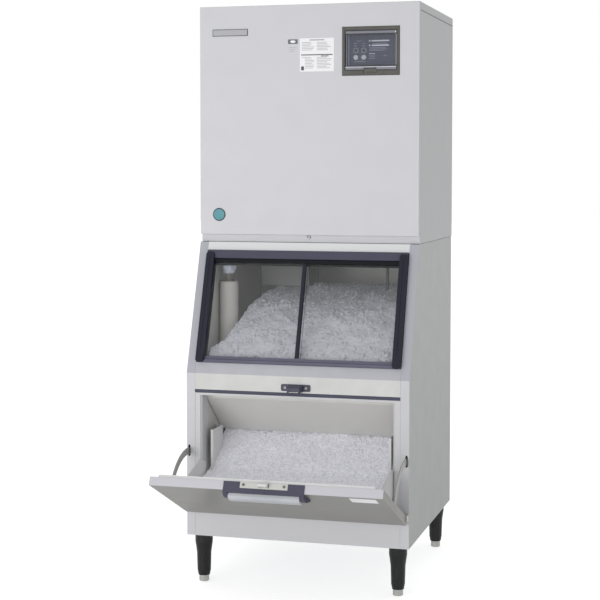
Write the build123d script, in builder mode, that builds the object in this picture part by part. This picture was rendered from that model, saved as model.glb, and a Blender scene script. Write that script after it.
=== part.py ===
from build123d import *
from math import asin, atan2, cos, radians, sin, tan
import os

# Flake ice machine: an ice-making head standing on an insulated storage bin.
# Origin on the floor, midway between the four feet. +Z is up and the front faces -Y.
# Lengths in millimetres. The drop-down door is modelled open, resting on its stays.

os.makedirs("parts", exist_ok=True)

# Cabinet
WIDTH = 700.0
HALF = WIDTH / 2
FRONT = -350.0
BACK = 350.0
BIN_BOTTOM = 152.0
BEND_Z = 657.0
BIN_TOP = 1056.0
SHEET = 1.2
POST = 27.0
POST_EDGE = HALF - POST

# Ice-making head
HEAD_FRONT = -214.0
HEAD_BACK = 358.0
HEAD_TOP = 1790.0
PANEL_BOTTOM = 1080.0
PANEL_DEPTH = 15.0
COLLAR_BOTTOM = 1057.0
COLLAR_FRONT = HEAD_FRONT + PANEL_DEPTH
COVER_SKIRT = 24.0

# Sloping upper front of the bin
TILT = atan2(HEAD_FRONT - FRONT, BIN_TOP - BEND_Z)
SLOPE_LENGTH = (BIN_TOP - BEND_Z) / cos(TILT)

# Bin lining
LINER_WALL = 2.0
LINER_HALF = 303.2
LINER_BACK = 290.0
LINER_FLOOR = 205.0
LINER_INSET = 24.0

# Lower opening and its drop-down door
OPENING_BOTTOM = 256.0
OPENING_TOP = 590.0
OPENING_HALF = 305.5
FRAME_TOP = 597.0
HINGE_Y = -365.0
HINGE_Z = 248.8
DOOR_OPEN = radians(65.15)
DOOR_HALF = 345.0
DOOR_LOW = -3.5
DOOR_HIGH = 347.1
DOOR_OUT = 21.0
DOOR_IN = -5.0
SEAL_DEPTH = 8.0
PIN_RADIUS = 4.0
RUNNING = 0.05

# Sliding windows, measured up the slope from the bend
SILL_LOW = 35.0
SILL_HIGH = 55.0
HEADER_LOW = 355.0
HEADER_HIGH = 394.0
FRAME_HALF = 321.0
BAR_INNER = 296.0
GLASS = 4.0
FRONT_TRACK = -7.0
REAR_TRACK = -14.0
PANE_LAP = 5.0

# Legs
LEG_X = 309.0
LEG_Y = 309.0
FOOT_HEIGHT = 20.0
FOOT_RADIUS = 15.5

# Freezing unit
AUGER_X = 45.0
AUGER_Y = 100.0
BARREL_BOTTOM = 1270.0
BARREL_TOP = 1560.0
BARREL_BORE = 35.0
HEAD_FLOOR = 1081.0

# Control window in the front panel
BEZEL_LEFT = 109.0
BEZEL_RIGHT = 289.0
BEZEL_LOW = 1569.0
BEZEL_HIGH = 1718.0

side = Plane.YZ
slope = Plane(origin=(0, FRONT, BEND_Z), x_dir=(1, 0, 0), z_dir=(0, -cos(TILT), sin(TILT)))
door = Plane(
    origin=(0, HINGE_Y, HINGE_Z),
    x_dir=(1, 0, 0),
    z_dir=(0, -cos(DOOR_OPEN), -sin(DOOR_OPEN)),
)


def slope_section(x):
    """Plane across the slope at x: first axis up the slope, second axis outwards."""
    return Plane(origin=(x, FRONT, BEND_Z), x_dir=(0, sin(TILT), cos(TILT)), z_dir=(1, 0, 0))


def door_section(x):
    """Plane across the door at x: first axis up the door, second axis outwards."""
    up = (0, -sin(DOOR_OPEN), cos(DOOR_OPEN))
    return Plane(origin=(x, HINGE_Y, HINGE_Z), x_dir=up, z_dir=(1, 0, 0))


def on_slope(s, n=0.0):
    """Y and Z of the point s up the slope and n in front of it."""
    return (FRONT + s * sin(TILT) - n * cos(TILT), BEND_Z + s * cos(TILT) + n * sin(TILT))


def bin_outline(inset, back, bottom, top):
    """Side outline of the bin with its front moved in by inset."""
    bend = BEND_Z - inset * tan(TILT / 2)
    front_top = FRONT + (top - BEND_Z) * tan(TILT) + inset / cos(TILT)
    return [(back, bottom), (FRONT + inset, bottom), (FRONT + inset, bend), (front_top, top), (back, top)]


def folded(path, gauge=SHEET):
    """Closed outline of a sheet folded along path, with its thickness on the left of it."""
    points = [Vector(*p) for p in path]
    runs = [(b - a).normalized() for a, b in zip(points, points[1:])]
    normals = [Vector(-r.Y, r.X) for r in runs]
    inner = [points[0] + normals[0] * gauge]
    for corner, before, after in zip(points[1:-1], normals, normals[1:]):
        inner.append(corner + (before + after) * (gauge / (1 + before.dot(after))))
    inner.append(points[-1] + normals[-1] * gauge)
    return [(p.X, p.Y) for p in points + inner[::-1]]


# Bin: one folded sheet makes both sides, the back and the front posts
stay_slot_low = 398.0
stay_slot_high = 434.0
stay_x = 342.0
stay_slot_width = 7.0

with BuildPart() as cabinet_wrap:
    with BuildSketch(side.offset(-HALF)):
        with BuildLine():
            Polyline(*bin_outline(0, BACK, BIN_BOTTOM, BIN_TOP), close=True)
        make_face()
    extrude(amount=WIDTH)
    with BuildSketch(side.offset(-HALF + SHEET)):
        with BuildLine():
            Polyline(*bin_outline(SHEET, BACK - SHEET, BIN_BOTTOM - 10, BIN_TOP + 10), close=True)
        make_face()
    extrude(amount=WIDTH - 2 * SHEET, mode=Mode.SUBTRACT)
    with BuildSketch(Plane.XZ.offset(-FRONT + 10)):
        with Locations((0, (BIN_BOTTOM + BIN_TOP) / 2)):
            Rectangle(2 * POST_EDGE, BIN_TOP - BIN_BOTTOM + 40)
    extrude(amount=-200, mode=Mode.SUBTRACT)
    with BuildSketch(Plane.XZ.offset(-FRONT + 10)):
        with Locations(*[(x, (stay_slot_low + stay_slot_high) / 2) for x in (-stay_x, stay_x)]):
            SlotOverall(stay_slot_high - stay_slot_low, stay_slot_width, rotation=90)
    extrude(amount=-20, mode=Mode.SUBTRACT)
cabinet_wrap.part.label = "cabinet_wrap"
export_step(cabinet_wrap.part, "parts/cabinet_wrap.step")

base_half = HALF - SHEET - 0.2
base_flange = 22.0
drain_x = -269.5
drain_y = -172.0
drain_low_y = -112.0
pipe_radius = 11.0
sleeve_radius = 29.0

with BuildPart() as cabinet_base:
    with BuildSketch(Plane.XY.offset(BIN_BOTTOM)):
        Rectangle(2 * base_half, 2 * base_half)
    extrude(amount=base_flange)
    offset(amount=-2 * SHEET, openings=cabinet_base.faces().sort_by(Axis.Z)[-1])
    with Locations(Location((drain_x, drain_low_y, BIN_BOTTOM))):
        Cylinder(20, 10, mode=Mode.SUBTRACT)
cabinet_base.part.label = "cabinet_base"
export_step(cabinet_base.part, "parts/cabinet_base.step")

# Inner lining, open at the lower door and at the windows
liner_outer_half = LINER_HALF + LINER_WALL
liner_top = 1052.0
window_low = 58.0
window_high = 352.0

with BuildPart() as bin_liner:
    with BuildSketch(side.offset(-liner_outer_half)):
        with BuildLine():
            Polyline(
                *bin_outline(
                    LINER_INSET - LINER_WALL,
                    LINER_BACK + LINER_WALL,
                    LINER_FLOOR - LINER_WALL,
                    liner_top,
                ),
                close=True,
            )
        make_face()
    extrude(amount=2 * liner_outer_half)
    with BuildSketch(side.offset(-LINER_HALF)):
        with BuildLine():
            Polyline(*bin_outline(LINER_INSET, LINER_BACK, LINER_FLOOR, liner_top + 10), close=True)
        make_face()
    extrude(amount=2 * LINER_HALF, mode=Mode.SUBTRACT)
    with BuildSketch(Plane.XZ.offset(-FRONT)):
        with Locations((0, (OPENING_BOTTOM + FRAME_TOP) / 2)):
            Rectangle(2 * LINER_HALF, FRAME_TOP - OPENING_BOTTOM)
    extrude(amount=-2 * LINER_INSET, mode=Mode.SUBTRACT)
    with BuildSketch(slope):
        with Locations((0, (window_low + window_high) / 2)):
            Rectangle(2 * BAR_INNER, window_high - window_low)
    extrude(amount=-2 * LINER_INSET, mode=Mode.SUBTRACT)
    with Locations(Location((drain_x, drain_low_y, LINER_FLOOR))):
        Cylinder(14, 10, mode=Mode.SUBTRACT)
bin_liner.part.label = "bin_liner"
export_step(bin_liner.part, "parts/bin_liner.step")

# Foamed insulation between the outer sheets and the lining
foam_gap = 0.3
foam_bottom = BIN_BOTTOM + base_flange + 2.0
foam_half = HALF - SHEET - foam_gap
channel_inner = 336.0

with BuildPart() as bin_insulation:
    with BuildSketch(side.offset(-foam_half)):
        with BuildLine():
            Polyline(*bin_outline(SHEET + 4.0, BACK - SHEET - foam_gap, foam_bottom, liner_top), close=True)
        make_face()
    extrude(amount=2 * foam_half)
    with BuildSketch(side.offset(-liner_outer_half - foam_gap)):
        with BuildLine():
            Polyline(
                *bin_outline(
                    LINER_INSET - LINER_WALL - foam_gap,
                    LINER_BACK + LINER_WALL + foam_gap,
                    LINER_FLOOR - LINER_WALL - foam_gap,
                    liner_top + 10,
                ),
                close=True,
            )
        make_face()
    extrude(amount=2 * (liner_outer_half + foam_gap), mode=Mode.SUBTRACT)
    # Room for the door frame
    with BuildSketch(Plane.XZ.offset(-FRONT)):
        with Locations((0, (foam_bottom + FRAME_TOP) / 2)):
            Rectangle(2 * POST_EDGE + 2, FRAME_TOP + 28 - foam_bottom)
    extrude(amount=-45, mode=Mode.SUBTRACT)
    # Room for the window frame
    with BuildSketch(slope):
        with Locations((0, (28 + SLOPE_LENGTH) / 2)):
            Rectangle(2 * POST_EDGE + 2, SLOPE_LENGTH - 28)
    extrude(amount=-26, mode=Mode.SUBTRACT)
    # Channels that the door stays slide into
    for x in (-foam_half, channel_inner):
        with BuildSketch(side.offset(x)):
            with Locations((-255, (stay_slot_low + stay_slot_high) / 2 - 60)):
                Rectangle(200, 176)
        extrude(amount=foam_half - channel_inner, mode=Mode.SUBTRACT)
    with Locations(Location((drain_x, drain_low_y, LINER_FLOOR - 20))):
        Cylinder(16, 60, mode=Mode.SUBTRACT)
bin_insulation.part.label = "bin_insulation"
export_step(bin_insulation.part, "parts/bin_insulation.step")

# Front sheets between the posts
sheet_half = POST_EDGE - 0.4
panel_return = 16.0

with BuildPart() as mid_panel:
    with BuildSketch(side.offset(-sheet_half)):
        with BuildLine():
            Polyline(
                *folded(
                    [
                        (FRONT + panel_return, FRAME_TOP + 10.6),
                        (FRONT, FRAME_TOP + 10.6),
                        (FRONT, BEND_Z),
                        on_slope(SILL_LOW - 0.4),
                        on_slope(SILL_LOW - 0.4, -panel_return),
                    ],
                    -SHEET,
                ),
                close=True,
            )
        make_face()
    extrude(amount=2 * sheet_half)
mid_panel.part.label = "mid_panel"
export_step(mid_panel.part, "parts/mid_panel.step")

apron_top = 246.4
with BuildPart() as lower_front_panel:
    with BuildSketch(side.offset(-sheet_half)):
        with BuildLine():
            Polyline(
                *folded(
                    [
                        (FRONT, BIN_BOTTOM),
                        (FRONT, apron_top),
                        (FRONT + panel_return, apron_top),
                    ],
                    -SHEET,
                ),
                close=True,
            )
        make_face()
    extrude(amount=2 * sheet_half)
lower_front_panel.part.label = "lower_front_panel"
export_step(lower_front_panel.part, "parts/lower_front_panel.step")

# Deck under the head: a front rail folded down the slope and a plate with the ice opening
chute_left = -213.0
chute_right = -61.0
chute_front = 0.0
chute_back = 130.0
tube_x = 206.0
tube_y = 0.0
rail_low = on_slope(HEADER_HIGH + 0.6)
rail_top = on_slope(SLOPE_LENGTH)

with BuildPart() as top_rail:
    with BuildSketch(side.offset(-sheet_half)):
        with BuildLine():
            Polyline(*folded([rail_low, rail_top, (BACK - 4, BIN_TOP)], -SHEET), close=True)
        make_face()
    extrude(amount=2 * sheet_half)
    with BuildSketch(Plane.XY.offset(BIN_TOP + 10)):
        with Locations(((chute_left + chute_right) / 2, (chute_front + chute_back) / 2)):
            Rectangle(chute_right - chute_left + 12, chute_back - chute_front + 12)
        with Locations((drain_x, drain_y)):
            Circle(16)
        with Locations((tube_x, tube_y)):
            Circle(7)
    extrude(amount=-20, mode=Mode.SUBTRACT)
top_rail.part.label = "top_rail"
export_step(top_rail.part, "parts/top_rail.step")

# Window frame: header, sill and the two side bars
band = 8.0
step_face = 2.5
groove = GLASS + 1.6


def track_grooves(s_low, s_high):
    """Rectangles of the two glass tracks between two heights on the slope."""
    for track in (FRONT_TRACK, REAR_TRACK):
        with Locations(((s_low + s_high) / 2, track + GLASS / 2)):
            Rectangle(s_high - s_low, groove, mode=Mode.SUBTRACT)


frame_back = REAR_TRACK - 4.0
with BuildPart() as window_header:
    with BuildSketch(slope_section(-FRAME_HALF)):
        with BuildLine():
            Polyline(
                (HEADER_LOW, frame_back),
                (HEADER_HIGH, frame_back),
                (HEADER_HIGH, band - 2),
                (HEADER_HIGH - 2, band),
                (369, band),
                (367, band - 2),
                (365, step_face),
                (HEADER_LOW, step_face),
                close=True,
            )
        make_face()
        track_grooves(HEADER_LOW - 1, HEADER_LOW + 12)
    extrude(amount=2 * FRAME_HALF)
window_header.part.label = "window_header"
export_step(window_header.part, "parts/window_header.step")

with BuildPart() as window_sill:
    with BuildSketch(slope_section(-FRAME_HALF)):
        with BuildLine():
            Polyline(
                (SILL_LOW, frame_back),
                (SILL_HIGH, frame_back),
                (SILL_HIGH, step_face),
                (46, step_face + 1),
                (44, band - 1),
                (43, band),
                (SILL_LOW + 1, band),
                (SILL_LOW, band - 1),
                close=True,
            )
        make_face()
        track_grooves(SILL_HIGH - 6, SILL_HIGH + 1)
    extrude(amount=2 * FRAME_HALF)
window_sill.part.label = "window_sill"
export_step(window_sill.part, "parts/window_sill.step")

bar_low = 33.0
bar_high = 386.0
bar_outer = FRAME_HALF + 1.0
bar_mid = (bar_outer + BAR_INNER) / 2
bar_width = bar_outer - BAR_INNER

with BuildPart() as window_jambs:
    for x in (-bar_mid, bar_mid):
        # Face bar with rounded ends and a groove down its middle
        with BuildSketch(slope.offset(band)):
            with Locations((x, (bar_low + bar_high) / 2)):
                RectangleRounded(bar_width, bar_high - bar_low, 9)
        extrude(amount=6)
        with BuildSketch(slope.offset(band + 6)):
            with Locations((x, (bar_low + bar_high) / 2 + 12)):
                Rectangle(1.6, bar_high - bar_low - 54)
        extrude(amount=-1.2, mode=Mode.SUBTRACT)
        # Foot cap of the bar
        with BuildSketch(slope.offset(band + 6)):
            with Locations((x, bar_low + 12)):
                RectangleRounded(bar_width - 3, 21, 5)
        extrude(amount=2)
        # Channel that closes the window's side between header and sill
        with BuildSketch(slope.offset(frame_back)):
            with Locations((x, (SILL_HIGH + HEADER_LOW) / 2)):
                Rectangle(bar_width, HEADER_LOW - SILL_HIGH)
        extrude(amount=band - frame_back)
window_jambs.part.label = "window_jambs"
export_step(window_jambs.part, "parts/window_jambs.step")

# Sliding panes: the left one runs in the front track and carries the stile
pane_low = SILL_HIGH - 5.0
pane_high = HEADER_LOW + 8.0
pane_outer = BAR_INNER - 1.0
stile_left = -8.5
stile_right = 3.6
pane_reach = pane_outer + PANE_LAP

for name, track, middle in (
    ("glass_left", FRONT_TRACK, -pane_outer + pane_reach / 2),
    ("glass_right", REAR_TRACK, pane_outer - pane_reach / 2),
):
    with BuildPart() as pane:
        with BuildSketch(slope.offset(track)):
            with Locations((middle, (pane_low + pane_high) / 2)):
                Rectangle(pane_reach, pane_high - pane_low)
        extrude(amount=GLASS)
        if name == "glass_right":
            # Clear edge strip on the pane's free side
            with BuildSketch(slope.offset(track - 1)):
                with Locations((-PANE_LAP + 1.5, (SILL_HIGH + HEADER_LOW) / 2)):
                    Rectangle(3, HEADER_LOW - SILL_HIGH - 4)
            extrude(amount=GLASS + 1.5)
    pane.part.label = name
    export_step(pane.part, f"parts/{name}.step")

with BuildPart() as centre_stile:
    with BuildSketch(slope.offset(FRONT_TRACK + GLASS)):
        with Locations(((stile_left + stile_right) / 2, (SILL_HIGH + HEADER_LOW) / 2)):
            Rectangle(stile_right - stile_left, HEADER_LOW - SILL_HIGH - 4)
    extrude(amount=8)
    fillet(centre_stile.faces().sort_by(Axis(slope.origin, slope.z_dir))[-1].edges(), 2.5)
centre_stile.part.label = "centre_stile"
export_step(centre_stile.part, "parts/centre_stile.step")

# Seal strip over the lower opening
with BuildPart() as door_gasket:
    with BuildSketch(side.offset(-sheet_half)):
        with Locations((FRONT + 5, FRAME_TOP + 5.4)):
            RectangleRounded(12, 9.6, 2)
    extrude(amount=2 * sheet_half)
door_gasket.part.label = "door_gasket"
export_step(door_gasket.part, "parts/door_gasket.step")

# White frame moulded round the lower opening, with ice guides inside the bin
frame_front = FRONT + 0.6
return_x = 301.2
return_wall = 1.8
return_back = -292.0
guide_inner = 279.0
guide_outer = 286.5
guide_sheet = 2.0
guide_front = -308.0
guide_back = -212.0
guide_top = 476.0
guide_web_top = 330.0

with BuildPart() as door_frame:
    with BuildSketch(Plane.XZ.offset(-frame_front)):
        with Locations((0, (apron_top + 0.4 + FRAME_TOP) / 2)):
            Rectangle(2 * sheet_half, FRAME_TOP - apron_top - 0.4)
        with Locations((0, (OPENING_BOTTOM + OPENING_TOP) / 2)):
            Rectangle(2 * OPENING_HALF, OPENING_TOP - OPENING_BOTTOM, mode=Mode.SUBTRACT)
    extrude(amount=-LINER_INSET + 3)
    for edge in (-1, 1):
        # Return into the bin, deep enough at its foot to carry the guide
        with BuildSketch(side.offset(edge * return_x)):
            with BuildLine():
                Polyline(
                    (frame_front + 4, OPENING_BOTTOM),
                    (guide_back, OPENING_BOTTOM),
                    (guide_back, guide_web_top),
                    (return_back, guide_web_top + 30),
                    (return_back, OPENING_TOP),
                    (frame_front + 4, OPENING_TOP),
                    close=True,
                )
            make_face()
        extrude(amount=edge * return_wall)
        with BuildSketch(side.offset(edge * return_x)):
            with Locations((FRONT + LINER_INSET / 2 + 1, (OPENING_BOTTOM + OPENING_TOP) / 2)):
                Rectangle(16, OPENING_TOP - OPENING_BOTTOM + 2)
        extrude(amount=edge * (OPENING_HALF - return_x + 1))
        # Guide plate with its front flange turned out, tied back to the return behind
        with BuildSketch(Plane.XY.offset(OPENING_BOTTOM)):
            with BuildLine():
                Polyline(
                    (edge * guide_inner, guide_front),
                    (edge * guide_outer, guide_front),
                    (edge * guide_outer, guide_front + guide_sheet),
                    (edge * (guide_inner + guide_sheet), guide_front + guide_sheet),
                    (edge * (guide_inner + guide_sheet), guide_back - guide_sheet),
                    (edge * (return_x + 1), guide_back - guide_sheet),
                    (edge * (return_x + 1), guide_back),
                    (edge * guide_inner, guide_back),
                    close=True,
                )
            make_face()
        extrude(amount=guide_top - OPENING_BOTTOM)
door_frame.part.label = "door_frame"
export_step(door_frame.part, "parts/door_frame.step")

# Sloping baffle over the lower opening
baffle_front = (-302.0, 576.0)
baffle_back = (-152.0, 454.0)
baffle_half = return_x - 0.6
with BuildPart() as baffle:
    with BuildSketch(side.offset(-baffle_half)):
        with BuildLine():
            Polyline(
                *folded(
                    [
                        (baffle_front[0] - 18, baffle_front[1] + 12),
                        (baffle_front[0], baffle_front[1] + 12),
                        baffle_front,
                        baffle_back,
                        (baffle_back[0] + 4, baffle_back[1] + 9),
                    ],
                ),
                close=True,
            )
        make_face()
    extrude(amount=2 * baffle_half)
baffle.part.label = "baffle"
export_step(baffle.part, "parts/baffle.step")

# Catch for the door's latch, screwed on the mid panel
catch_z = 623.5
catch_low = 612.0
catch_front = FRONT - 31.0
mouth_top = 616.5
pocket_width = 31.0
catch_screws = ((-33.0, catch_z), (33.0, catch_z))
with BuildPart() as catch_bracket:
    with BuildSketch(Plane.XZ.offset(-FRONT)):
        with Locations((0, catch_z)):
            RectangleRounded(92, 21, 5)
    extrude(amount=3)
    # Hooded block, drawn in towards its front
    with BuildSketch(Plane.XY.offset(catch_low)):
        with BuildLine():
            Polyline(
                (-24.5, FRONT - 2),
                (-19.5, catch_front),
                (19.5, catch_front),
                (24.5, FRONT - 2),
                close=True,
            )
        make_face()
    extrude(amount=19)
    chamfer(catch_bracket.edges().filter_by(Axis.X).sort_by(Axis.Y)[:2].sort_by(Axis.Z)[-1], 5)
    # Pocket for the tongue and its mouth through the front
    with BuildSketch(Plane.XY.offset(catch_low)):
        with Locations((0, HINGE_Y - 4)):
            Rectangle(pocket_width, 14)
    extrude(amount=9, mode=Mode.SUBTRACT)
    with BuildSketch(Plane.XY.offset(catch_low)):
        with Locations((0, catch_front)):
            Rectangle(pocket_width, 14)
    extrude(amount=mouth_top - catch_low, mode=Mode.SUBTRACT)
catch_bracket.part.label = "catch_bracket"
export_step(catch_bracket.part, "parts/catch_bracket.step")

# Insulated drain pipe from the head, led back over the baffle and down through the floor
sleeve_top = 930.0
sleeve_bend = 640.0
sleeve_foot = 300.0
with BuildLine(side.offset(drain_x)) as sleeve_path:
    FilletPolyline(
        (drain_y, sleeve_bend),
        (drain_y, sleeve_bend - 45),
        (drain_low_y, sleeve_bend - 150),
        (drain_low_y, sleeve_foot),
        radius=45,
    )

with BuildPart() as drain_pipe:
    with BuildSketch(Plane.XZ.offset(-drain_y)):
        with BuildLine():
            Polyline(
                (drain_x, sleeve_bend),
                (drain_x + sleeve_radius, sleeve_bend),
                (drain_x + sleeve_radius, sleeve_top - 3),
                (drain_x + sleeve_radius - 2, sleeve_top),
                (drain_x + pipe_radius + 3, sleeve_top),
                (drain_x + pipe_radius + 3, sleeve_top + 24),
                (drain_x + 20, sleeve_top + 30),
                (drain_x + 20, sleeve_top + 60),
                (drain_x + pipe_radius, sleeve_top + 66),
                (drain_x + pipe_radius, BIN_TOP),
                (drain_x, BIN_TOP),
                close=True,
            )
        make_face()
    revolve(axis=Axis((drain_x, drain_y, 0), (0, 0, 1)))
    # Hexagon of the union
    with BuildSketch(Plane.XY.offset(sleeve_top + 40)):
        with Locations((drain_x, drain_y)):
            RegularPolygon(24, 6)
    extrude(amount=9)
    with BuildSketch(Plane.XY.offset(sleeve_bend)):
        with Locations((drain_x, drain_y)):
            Circle(sleeve_radius)
    sweep(path=sleeve_path.line)
    with BuildSketch(Plane.XY.offset(sleeve_foot)):
        with Locations((drain_x, drain_low_y)):
            Circle(pipe_radius)
    extrude(amount=-sleeve_foot + BIN_BOTTOM - 2)
drain_pipe.part.label = "drain_pipe"
export_step(drain_pipe.part, "parts/drain_pipe.step")

# Capillary tube of the bin thermostat
tube_radius = 5.5
tube_end = 880.0
with BuildPart() as thermostat_tube:
    with BuildSketch(Plane.XY.offset(tube_end)):
        with Locations((tube_x, tube_y)):
            Circle(tube_radius)
    extrude(amount=BIN_TOP - tube_end)
thermostat_tube.part.label = "thermostat_tube"
export_step(thermostat_tube.part, "parts/thermostat_tube.step")

# Legs and levelling feet
stem_radius = 6.0
stem_gap = 0.05
with BuildPart() as legs:
    for x in (-LEG_X, LEG_X):
        for y in (-LEG_Y, LEG_Y):
            with BuildSketch(Plane.XZ.offset(-y)):
                with BuildLine():
                    Polyline(
                        (x + stem_radius + stem_gap, FOOT_HEIGHT + 0.3),
                        (x + 18, FOOT_HEIGHT + 0.3),
                        (x + 21, 36),
                        (x + 22.6, 92),
                        (x + 27.5, 126),
                        (x + 27.5, BIN_BOTTOM),
                        (x + stem_radius + stem_gap, BIN_BOTTOM),
                        close=True,
                    )
                make_face()
            revolve(axis=Axis((x, y, 0), (0, 0, 1)))
legs.part.label = "legs"
export_step(legs.part, "parts/legs.step")

for name, x, y in (
    ("foot_front_left", -LEG_X, -LEG_Y),
    ("foot_front_right", LEG_X, -LEG_Y),
    ("foot_back_left", -LEG_X, LEG_Y),
    ("foot_back_right", LEG_X, LEG_Y),
):
    with BuildPart() as foot:
        with BuildSketch(Plane.XZ.offset(-y)):
            with BuildLine():
                Polyline(
                    (x, 0),
                    (x + FOOT_RADIUS - 2, 0),
                    (x + FOOT_RADIUS, 2),
                    (x + FOOT_RADIUS, FOOT_HEIGHT),
                    (x + stem_radius, FOOT_HEIGHT),
                    (x + stem_radius, 71),
                    (x, 71),
                    close=True,
                )
            make_face()
        revolve(axis=Axis((x, y, 0), (0, 0, 1)))
    foot.part.label = name
    export_step(foot.part, f"parts/{name}.step")

# Hinge brackets with their pins, fixed to the posts
ear_inner = DOOR_HALF + 0.8
pin_length = 17.8
with BuildPart() as hinge_pins:
    for edge in (-1, 1):
        with BuildSketch(side.offset(edge * ear_inner)):
            with BuildLine():
                Polyline(
                    (FRONT, HINGE_Z - 13),
                    (FRONT, HINGE_Z + 9),
                    (HINGE_Y - 4, HINGE_Z + 9),
                    (HINGE_Y - 8, HINGE_Z + 4),
                    (HINGE_Y - 8, HINGE_Z - 4),
                    (HINGE_Y - 4, HINGE_Z - 8),
                    close=True,
                )
            make_face()
        extrude(amount=edge * 3.4)
        with BuildSketch(side.offset(edge * ear_inner)):
            with Locations((HINGE_Y, HINGE_Z)):
                Circle(PIN_RADIUS)
        extrude(amount=-edge * pin_length)
hinge_pins.part.label = "hinge_pins"
export_step(hinge_pins.part, "parts/hinge_pins.step")

# Door: outer tray with knuckles, inner moulding with seal and ice cheeks
core_half = 322.0
core_low = 8.0
core_high = DOOR_HIGH - 4.0

tongue_width = 27.0
tongue_depth = 12.0
tongue_w = 4.0
tongue_out = 20.0
tongue_root = DOOR_HIGH - 22.0
tongue_travel = 9.0

with BuildPart() as door_skin:
    with BuildSketch(door.offset(DOOR_IN)):
        with Locations((0, (DOOR_LOW + DOOR_HIGH) / 2)):
            Rectangle(2 * DOOR_HALF, DOOR_HIGH - DOOR_LOW)
    extrude(amount=DOOR_OUT - DOOR_IN)
    edge_faces = door_skin.faces().sort_by(Axis(door.origin, door.z_dir))
    chamfer(edge_faces[-1].edges(), 0.8)
    with BuildSketch(door.offset(DOOR_IN + SHEET)):
        with Locations((0, (DOOR_LOW + DOOR_HIGH) / 2)):
            Rectangle(2 * (DOOR_HALF - SHEET), DOOR_HIGH - DOOR_LOW - 2 * SHEET)
    extrude(amount=DOOR_OUT - DOOR_IN - 2 * SHEET, mode=Mode.SUBTRACT)
    with BuildSketch(door.offset(DOOR_IN)):
        with Locations((0, (core_low + core_high) / 2)):
            Rectangle(2 * (core_half + 0.3), core_high - core_low + 0.6)
    extrude(amount=SHEET, mode=Mode.SUBTRACT)
    for edge in (-1, 1):
        with BuildSketch(side.offset(edge * (DOOR_HALF - 19))):
            with Locations((HINGE_Y, HINGE_Z)):
                Circle(8)
        extrude(amount=edge * 19)
        with BuildSketch(side.offset(edge * (DOOR_HALF - 20))):
            with Locations((HINGE_Y, HINGE_Z)):
                Circle(PIN_RADIUS + RUNNING)
        extrude(amount=edge * 21, mode=Mode.SUBTRACT)
    with BuildSketch(door.offset(tongue_w - tongue_depth / 2 - 0.5)):
        with Locations((0, DOOR_HIGH + 4 - (DOOR_HIGH + 6 - tongue_root + tongue_travel) / 2)):
            Rectangle(tongue_width + 1, DOOR_HIGH + 6 - tongue_root + tongue_travel)
    extrude(amount=tongue_depth + 1, mode=Mode.SUBTRACT)
door_skin.part.label = "door_skin"
export_step(door_skin.part, "parts/door_skin.step")

cheek_x = 300.5
cheek_wall = 3.0
with BuildPart() as door_liner:
    # Foamed core behind the inner face
    with BuildSketch(door.offset(DOOR_IN - 2.5)):
        with Locations((0, (core_low + core_high) / 2)):
            Rectangle(2 * core_half, core_high - core_low)
    extrude(amount=DOOR_OUT - DOOR_IN - SHEET + 2.5)
    # Raised rim that meets the door frame
    with BuildSketch(door.offset(DOOR_IN - SEAL_DEPTH)):
        with Locations((0, (core_low + core_high) / 2)):
            RectangleRounded(2 * core_half, core_high - core_low, 6)
            RectangleRounded(2 * (core_half - 14), core_high - core_low - 28, 6, mode=Mode.SUBTRACT)
    extrude(amount=SEAL_DEPTH)
    # Cheeks that keep the ice between them when the door is down
    for edge in (-1, 1):
        with BuildSketch(door_section(edge * (cheek_x - cheek_wall / 2))):
            with BuildLine():
                Polyline(
                    (core_low + 2, DOOR_IN - 2),
                    (core_low + 2, -135),
                    (75, -128),
                    (158, -56),
                    (214, DOOR_IN - 2),
                    close=True,
                )
            make_face()
        extrude(amount=cheek_wall / 2, both=True)
    with BuildSketch(door.offset(tongue_w - tongue_depth / 2 - 0.5)):
        with Locations((0, DOOR_HIGH + 4 - (DOOR_HIGH + 6 - tongue_root + tongue_travel) / 2)):
            Rectangle(tongue_width + 1, DOOR_HIGH + 6 - tongue_root + tongue_travel)
    extrude(amount=tongue_depth + 1, mode=Mode.SUBTRACT)
door_liner.part.label = "door_liner"
export_step(door_liner.part, "parts/door_liner.step")

# Curved stays, concentric with the hinge, that slide through the posts
stay_outer = 178.0
stay_inner = 157.0
stay_wall = 3.0
stay_tail = radians(-10.0)


def around_hinge(radius, angle):
    """Y and Z at a radius and an angle from the vertical, turned towards the front."""
    return (HINGE_Y - radius * sin(angle), HINGE_Z + radius * cos(angle))


with BuildPart() as door_stays:
    for edge in (-1, 1):
        with BuildSketch(side.offset(edge * stay_x)):
            with BuildLine():
                for radius in (stay_outer, stay_inner):
                    foot = DOOR_OPEN + asin(DOOR_IN / radius)
                    ThreePointArc(
                        around_hinge(radius, foot),
                        around_hinge(radius, (foot + stay_tail) / 2),
                        around_hinge(radius, stay_tail),
                    )
                Line(around_hinge(stay_outer, stay_tail), around_hinge(stay_inner, stay_tail))
                Line(
                    around_hinge(stay_inner, DOOR_OPEN + asin(DOOR_IN / stay_inner)),
                    around_hinge(stay_outer, DOOR_OPEN + asin(DOOR_IN / stay_outer)),
                )
            make_face()
        extrude(amount=stay_wall / 2, both=True)
        with BuildSketch(door.offset(DOOR_IN - 2)):
            with Locations((edge * (stay_x - 6), (stay_inner + stay_outer) / 2)):
                Rectangle(15, stay_outer - stay_inner + 14)
        extrude(amount=2)
door_stays.part.label = "door_stays"
export_step(door_stays.part, "parts/door_stays.step")

# Handle: moulded housing on the door's top edge with cheeks down the outer face
handle_half = 119.5
block_inner = 71.0
cheek_inner = 106.0
handle_foot = 270.0
grip_axis = (338.0, 31.0)
trunnion = 1.5
handle_screw = (301.0, 29.3)

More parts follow.
